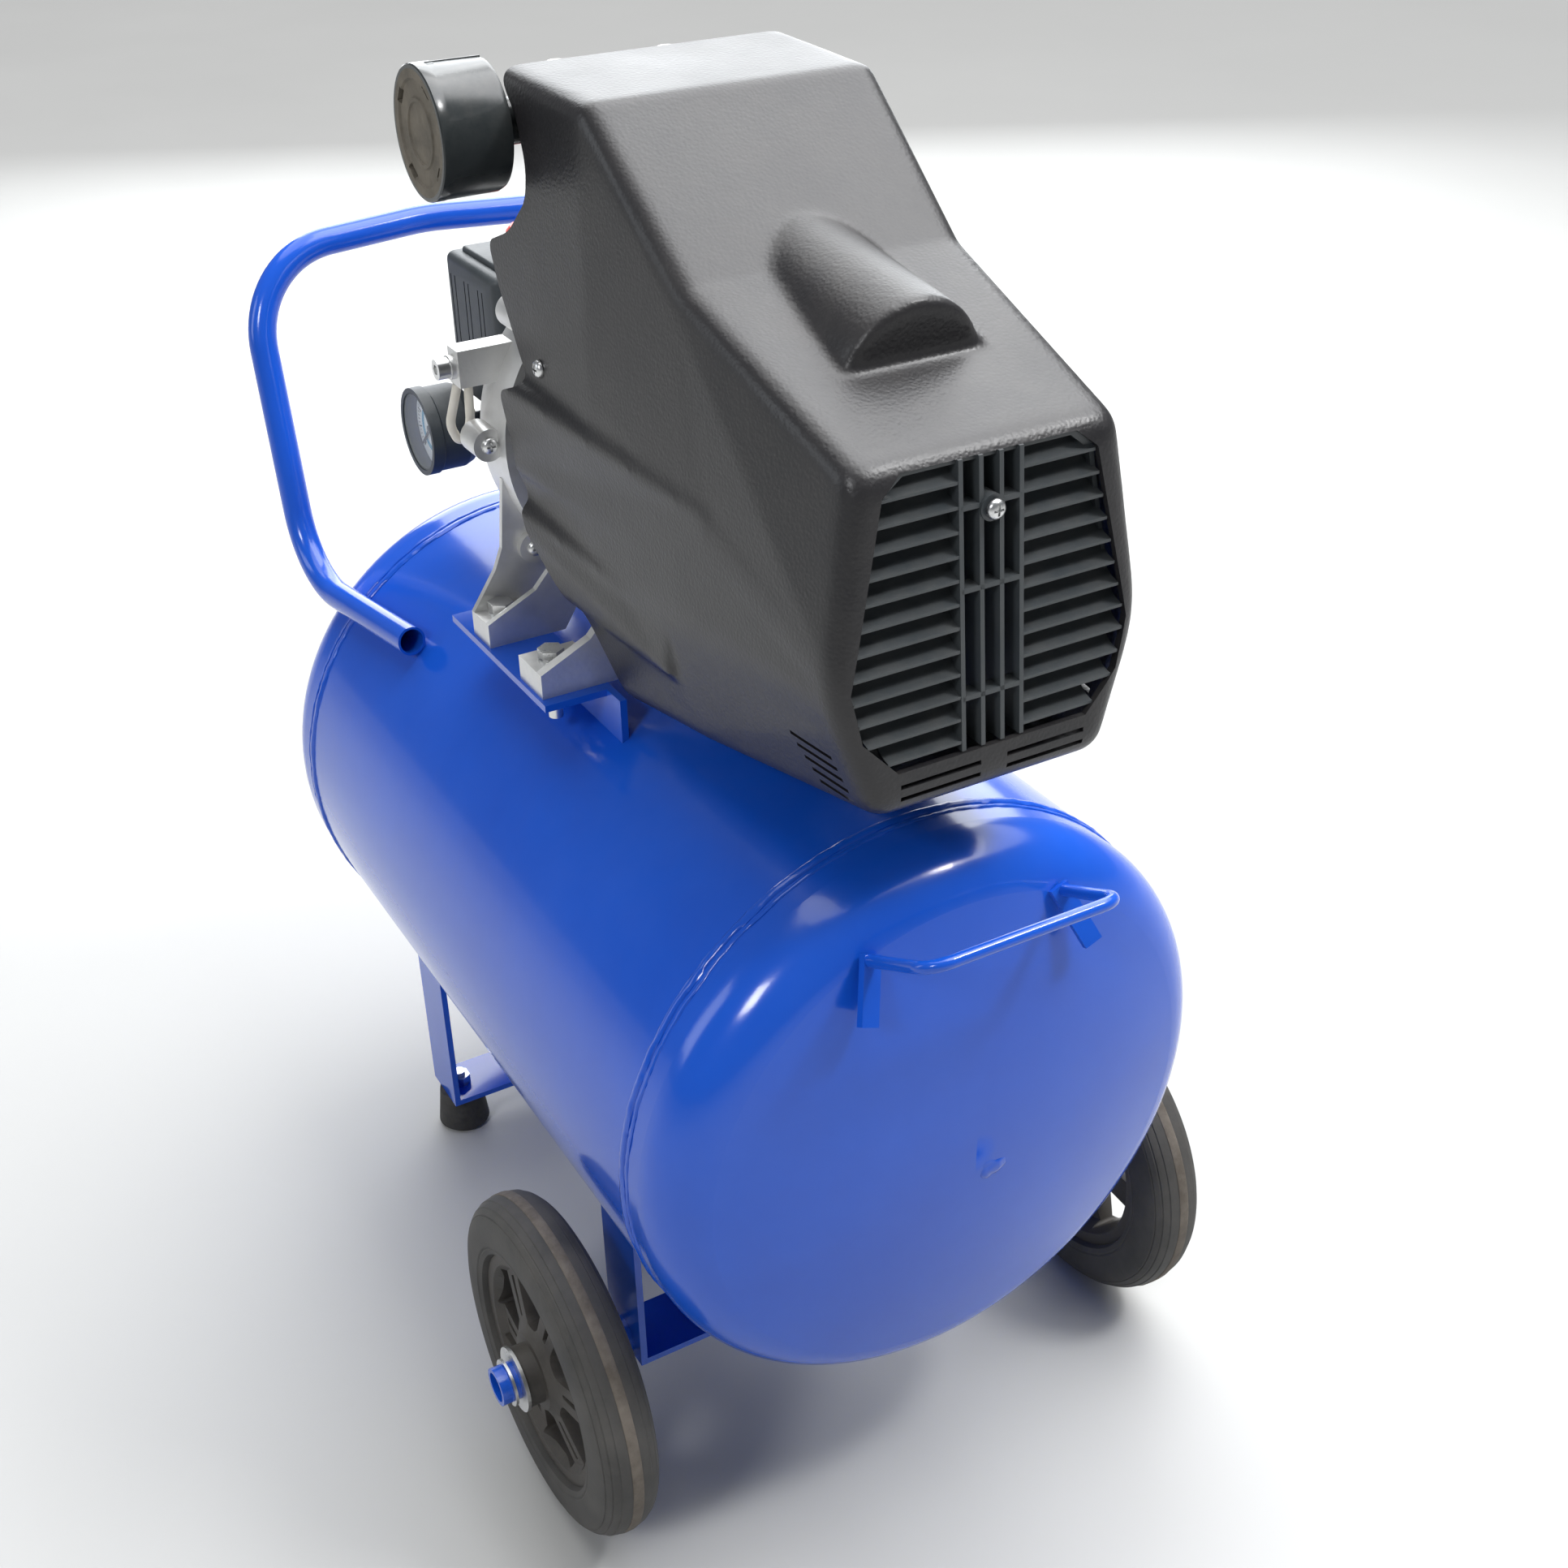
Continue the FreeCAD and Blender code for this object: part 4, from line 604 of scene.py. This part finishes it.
def leaning_bar(bm, y, width, top, low, depth):
    """Upright bar that follows the front face."""
    made = bmesh.ops.create_cube(bm, size=1)["verts"]
    bmesh.ops.scale(bm, vec=(depth * MM, width * MM, (top - low) * MM), verts=made)
    bmesh.ops.translate(bm, vec=spot(face_x(top) - depth / 2 - 1, y, (top + low) / 2), verts=made)
    for v in made:
        v.co.x += (top * MM - v.co.z) * LEAN


bm = bmesh.new()
for i in range(12):
    for side in (-1, 1):
        louvre(bm, 630 - LOUVRE_PITCH * i, side)
for y in (-15.3, -5.1, 5.1, 15.3):
    leaning_bar(bm, y, 2.2, 639, 508.5, 12)
for z in (618, 582, 533):
    leaning_bar(bm, 0, 31, z + 1.1, z - 1.1, 8)
grille = mesh_object(bm, "vent_grille")
boss = lathe("grille_boss", [(2.2, -9), (6, -9), (6, 0), (2.2, 0)],
             spot(face_x(SCREW_Z), 0, SCREW_Z), (1, 0, 0), 32)
lip = plate("grille_lip", [spot(276, y, z) for y, z in vent_ring], (0.005, 0, 0))
inner_ring = [(y - math.copysign(2, y), z + (2 if z < 560 else -2)) for y, z in vent_ring]
carve(lip, [plate("lip_cut", [spot(270, y, z) for y, z in inner_ring], (0.03, 0, 0))])
bm = bmesh.new()
for part in (grille, boss, lip):
    bm.from_mesh(part.data)
    bpy.data.objects.remove(part)
grille = mesh_object(bm, "vent_grille", outward=False)
keep(grille, "frame", "grille_plastic", "grille", angle=40)

# %% [markdown]
# ## Wheels
# The tyre is a solid rubber ring: a closed profile spun round the axle, with a raised
# mould strip along the middle of the tread and fine grooves on the shoulders. The rim is
# spun too, then six windows and a recess in each spoke are cut from it.

# %% Tyres and rims
AXLE = (165, 183.6, 100)
SHOULDER = [(68, 13.5), (69.2, 16.6), (72, 17.6), (73, 17.2), (74, 17.9), (82, 18), (88, 17.4), (91.2, 16.2),
            (91.5, 15.5), (92.2, 15.6), (94.6, 13.6), (94.8, 12.8), (95.6, 12.6), (97.3, 9.8), (97.4, 9.0),
            (98.1, 8.6), (98.9, 5.2), (99.1, 3.4)]
STRIP = [(98.9, 3.3), (99.7, 3.1), (100, 2.2), (100, -2.2), (99.7, -3.1), (98.9, -3.3)]


def spoke_cutter(name, corners, depth, low, rounding, angle, at, axis):
    """Rounded prism for a window or a recess, turned about the axle."""
    bm = bmesh.new()
    face = bm.faces.new([bm.verts.new(Vector((x, y, low)) * MM) for x, y in corners])
    grown = bmesh.ops.extrude_face_region(bm, geom=[face])
    bmesh.ops.translate(bm, vec=(0, 0, depth * MM), verts=new_verts(grown))
    upright = [e for e in bm.edges if abs(e.verts[0].co.z - e.verts[1].co.z) > 1e-6]
    bmesh.ops.bevel(bm, geom=upright, offset=rounding * MM, segments=4, profile=0.5,
                    affect="EDGES", material=-1)
    turned = Vector(axis).to_track_quat("Z", "X").to_matrix() @ Matrix.Rotation(angle, 3, "Z")
    bmesh.ops.rotate(bm, matrix=turned, verts=bm.verts)
    bmesh.ops.translate(bm, vec=at, verts=bm.verts)
    return mesh_object(bm, name)


def make_wheel(body, side):
    """Tyre, worn strip and rim of one wheel."""
    at, axis = spot(AXLE[0], side * AXLE[1], AXLE[2]), Vector((0, side, 0))
    profile = SHOULDER + [(r, -h) for r, h in reversed(SHOULDER)]
    tyre = lathe(f"{body}_ring", profile, at, axis, 144)
    keep(tyre, body, "tyre_rubber", f"{body}_tyre", angle=28)
    strip = lathe(f"{body}_strip", STRIP, at, axis, 144)
    for v in strip.data.vertices:
        rough = noise.noise(v.co * 120)
        v.co += (v.co - at).normalized() * (rough * 0.25 - 0.25) * MM
    keep(strip, body, "tyre_rubber", angle=28, material=FINISH["worn_rubber"])
    rim = lathe(f"{body}_spokes", [
        (11.06, -25), (20, -25), (21, -12), (30, -5), (57, -1), (61, -13), (67.9, -13.5), (67.9, 13.5),
        (66, 13.5), (61.5, 13), (57.5, 8.5), (30, 11.5), (24, 14), (22.5, 16), (17.5, 16), (17.5, 25),
        (11.06, 25)], at, axis, 96)
    cutters = []
    for i in range(6):
        angle = math.radians(60 * i + 12)
        cutters.append(spoke_cutter("window", [(28, -6.5), (57, -21), (57, 21), (28, 6.5)], 60, -30, 3,
                                    angle, at, axis))
        cutters.append(spoke_cutter("recess", [(31, -1.6), (54, -2.4), (54, 2.4), (31, 1.6)], 20, 6.0, 1.1,
                                    angle + math.radians(30), at, axis))
    carve(rim, cutters)
    sculpted(rim, "BEVEL", width=0.7 * MM, segments=2, limit_method="ANGLE", angle_limit=math.radians(35))
    frozen(rim)
    keep(rim, body, "rim_plastic", f"{body}_rim", angle=38)


make_wheel("wheel_left", -1)
make_wheel("wheel_right", 1)

# %% [markdown]
# ## Intake filter
# A glossy drum on a short neck. The drum is spun with rounded rims; a seam runs along
# it, a small latch holds the dusty end cap, and the cap has a ring and four air slots.

# %% Filter drum and cap
FILTER = spot(-22, -82, 722)
TOWARD_LEFT = Vector((0, -1, 0))
drum = lathe("filter_drum", [(8, -42), (11, -42), (11, 0), (27.5, 0), (30, 1), (31, 3.4), (31.2, 30.6),
                             (31.5, 31), (31.5, 36.4), (30.9, 37), (29.3, 37), (29.3, 3), (8, 3)],
             FILTER, TOWARD_LEFT, 120)
latches = [block("latch", (-27, -119, 751.6), (-19, -108, 753.2), 0.6),
           block("seam", (-23.4, -112, 752.2), (-22.4, -84, 753.5), 0.3)]
carve(drum, latches, "UNION")
keep(drum, "frame", "shroud_plastic", "filter_body", angle=40, material=FINISH["filter_plastic"])
cap = lathe("filter_end", [(0, 33), (29.3, 33), (29.3, 37), (25, 36.9), (24.2, 35.9), (16.6, 35.7),
                           (16, 36.5), (14.4, 36.5), (13.8, 35.6), (0, 35.4)], FILTER, TOWARD_LEFT, 96)
slots = []
for i in range(4):
    bm = bmesh.new()
    bmesh.ops.create_cube(bm, size=1)
    bmesh.ops.scale(bm, vec=(3 * MM, 10 * MM, 8.5 * MM), verts=bm.verts)
    bmesh.ops.translate(bm, vec=(24.5 * MM, 0, 0), verts=bm.verts)
    bmesh.ops.rotate(bm, matrix=Matrix.Rotation(math.radians(35 + 90 * i), 3, "Y"), verts=bm.verts)
    bmesh.ops.translate(bm, vec=FILTER + Vector((0, -36 * MM, 0)), verts=bm.verts)
    slots.append(mesh_object(bm, "cap_slot"))
carve(cap, slots)
keep(cap, "frame", "dusty_plastic", "filter_cap", angle=40)

# %% [markdown]
# ## Pressure switch
# The cover is a slate moulding with softly rounded edges, a raised top and upright
# grooves in its sides. It is a bevelled cube with thin blocks cut away.

# %% Switch cover
cover = block("switch_box", (-196, -48, 545), (-124, 38, 615), 5, 4)
carve(cover, [block("raised_top", (-188, -40, 612), (-132, 30, 618), 2, 3)], "UNION")
grooves = []
for i, x in enumerate((-189, -183, -169, -163, -149, -143)):
    for y in (-49, 36.4):
        grooves.append(block("groove", (x, y, 551), (x + 1.3, y + 2.6, 603)))
for y in (-36, -30, -12, -6, 12, 18):
    for x in (-197, -125.6):
        grooves.append(block("groove", (x, y, 551), (x + 2.6, y + 1.3, 603)))
grooves.append(lathe("knob_well", [(0, -30), (9, -30), (9, 3), (0, 3)], spot(-160, -5, 616), (0, 0, 1), 48))
carve(cover, grooves)
keep(cover, "frame", "switch_plastic", "switch_cover", angle=40)

# %% [markdown]
# ## Weld beads
# The heads are welded to the shell. A bead is a thin ring whose surface wanders a little,
# so a spun profile is roughened with noise along its length. A small roughened blob,
# painted like the shell, sits near the centre of the near head.

# %% Weld beads on the receiver
def seam_bead(name, station, width, rise):
    """Uneven ring of weld round the shell."""
    at = spot(station, 0, TANK_Z)
    inside, crest = TANK_RADIUS - 1, TANK_RADIUS + rise
    foot = TANK_RADIUS + 0.2
    bead = lathe(name, [(inside, -width), (foot, -width), (crest, -width * 0.4), (crest, width * 0.4),
                        (foot, width), (inside, width)], at, (1, 0, 0), 420)
    for v in bead.data.vertices:
        out = Vector((0, v.co.y, v.co.z - at.z))
        if out.length > (TANK_RADIUS + 0.1) * MM:
            v.co += out.normalized() * (noise.noise(v.co * 260) * 0.45 + noise.noise(v.co * 40) * 0.3) * MM
            v.co.x += noise.noise(v.co * 90) * 0.8 * MM
    return keep(bead, "frame", "blue_paint", angle=60)


for end, way in (("near", 1), ("far", -1)):
    seam_bead(f"{end}_seam", way * 229.6, 2.6, 1.2)
    seam_bead(f"{end}_lip", way * 235, 1.2, 0.7)
bm = bmesh.new()
bmesh.ops.create_uvsphere(bm, u_segments=32, v_segments=16, radius=1)
bmesh.ops.scale(bm, vec=(1.6 * MM, 9 * MM, 6 * MM), verts=bm.verts)
for v in bm.verts:
    v.co *= 1 + 0.35 * noise.noise(v.co * 300)
bmesh.ops.translate(bm, vec=spot(297.3, 10, 258), verts=bm.verts)
keep(mesh_object(bm, "head_mark"), "frame", "blue_paint", angle=60)

# %% [markdown]
# ## Gauge face
# A dial reads well only with its scale, so small ticks stand in an arc on the white disc,
# every fifth one longer, over a pale blue band. They are tiny cubes, scaled and turned
# about the dial's centre.

# %% Dial scale
DIAL = spot(-176, -75.05, 517)
bm = bmesh.new()
for i in range(41):
    long = 4.2 if i % 5 == 0 else 2.2
    made = bmesh.ops.create_cube(bm, size=1)["verts"]
    bmesh.ops.scale(bm, vec=((0.7 if i % 5 == 0 else 0.35) * MM, 0.2 * MM, long * MM), verts=made)
    bmesh.ops.translate(bm, vec=(0, 0, (20.5 - long / 2) * MM), verts=made)
    bmesh.ops.rotate(bm, matrix=Matrix.Rotation(math.radians(-135 + 270 * i / 40), 3, "Y"), verts=made)
bmesh.ops.translate(bm, vec=DIAL, verts=bm.verts)
keep(mesh_object(bm, "dial_ticks"), "frame", "needle_black")
band = lathe("dial_band", [(11.5, 0.0), (14.5, 0.0), (14.5, 0.15), (11.5, 0.15)], DIAL, TOWARD_LEFT, 64)
BAND = finish("Blue print", (0.10, 0.34, 0.55), (0.13, 0.40, 0.60), 0.4, mottle=60, bump=0.02, dust=0)
keep(band, "frame", "dial_white", material=BAND)

# %% [markdown]
# ## Unloader tube
# A thin tube runs from the check valve up to the pressure switch, to let the air out of
# the delivery pipe when the motor stops. It is a curve with a round bevel, made a mesh.

# %% Unloader tube
line = bpy.data.curves.new("unloader", "CURVE")
line.dimensions = "3D"
line.bevel_depth = 2.4 * MM
line.bevel_resolution = 5
track = line.splines.new("BEZIER")
points = [(-109, 26, 474), (-118, 26, 476), (-120, 20, 492), (-121, 8, 520), (-126, 4, 536)]
track.bezier_points.add(len(points) - 1)
for point, place in zip(track.bezier_points, points):
    point.co = spot(*place)
    point.handle_left_type = point.handle_right_type = "AUTO"
tube = bpy.data.objects.new("unloader_curve", line)
scene.collection.objects.link(tube)
graph = bpy.context.evaluated_depsgraph_get()
tube_mesh = bpy.data.meshes.new_from_object(tube.evaluated_get(graph))
bpy.data.objects.remove(tube)
bm = bmesh.new()
bm.from_mesh(tube_mesh)
bmesh.ops.holes_fill(bm, edges=[e for e in bm.edges if e.is_boundary])
keep(mesh_object(bm, "unloader_tube"), "frame", "pipe_alloy", angle=50)

# %% [markdown]
# ## Cross-head screws
# Pan-head screws hold the crankcase cover, the shroud and the grille. One head is spun
# as a low dome, two thin blocks cut the cross, and copies go to every screw's place.

# %% Pan-head screws
head = lathe("screw_head", [(0, -6), (2.2, -6), (2.2, 0), (4.6, 0), (4.55, 1.0), (3.9, 2.1), (2.6, 2.8),
                            (0, 3.1)], Vector(), (0, 0, 1), 32)
cross = []
for x, y in ((5, 1.1), (1.1, 5)):
    bm = bmesh.new()
    bmesh.ops.create_cube(bm, size=1)
    bmesh.ops.scale(bm, vec=(x * MM, y * MM, 3.2 * MM), verts=bm.verts)
    bmesh.ops.translate(bm, vec=(0, 0, 2.9 * MM), verts=bm.verts)
    cross.append(mesh_object(bm, "cross"))
carve(head, cross)
places = [((-42, side * y, CRANK_Z + z), (1, 0, 0))
          for side in (-1, 1) for y, z in ((91, 2), (70, -62), (64, 66))]
places += [((17, side * 83.4, 612), (0, side, 0)) for side in (-1, 1)]
places.append(((287.6, 0, SCREW_Z), (1, 0, 0)))
bm = bmesh.new()
for place, axis in places:
    start = len(bm.verts)
    bm.from_mesh(head.data)
    bm.verts.ensure_lookup_table()
    made = bm.verts[start:]
    bmesh.ops.rotate(bm, matrix=Vector(axis).to_track_quat("Z", "X").to_matrix(), verts=made)
    bmesh.ops.translate(bm, vec=spot(*place), verts=made)
bpy.data.objects.remove(head)
keep(mesh_object(bm, "cross_screws"), "frame", "zinc_steel", "pan_screws", angle=35)
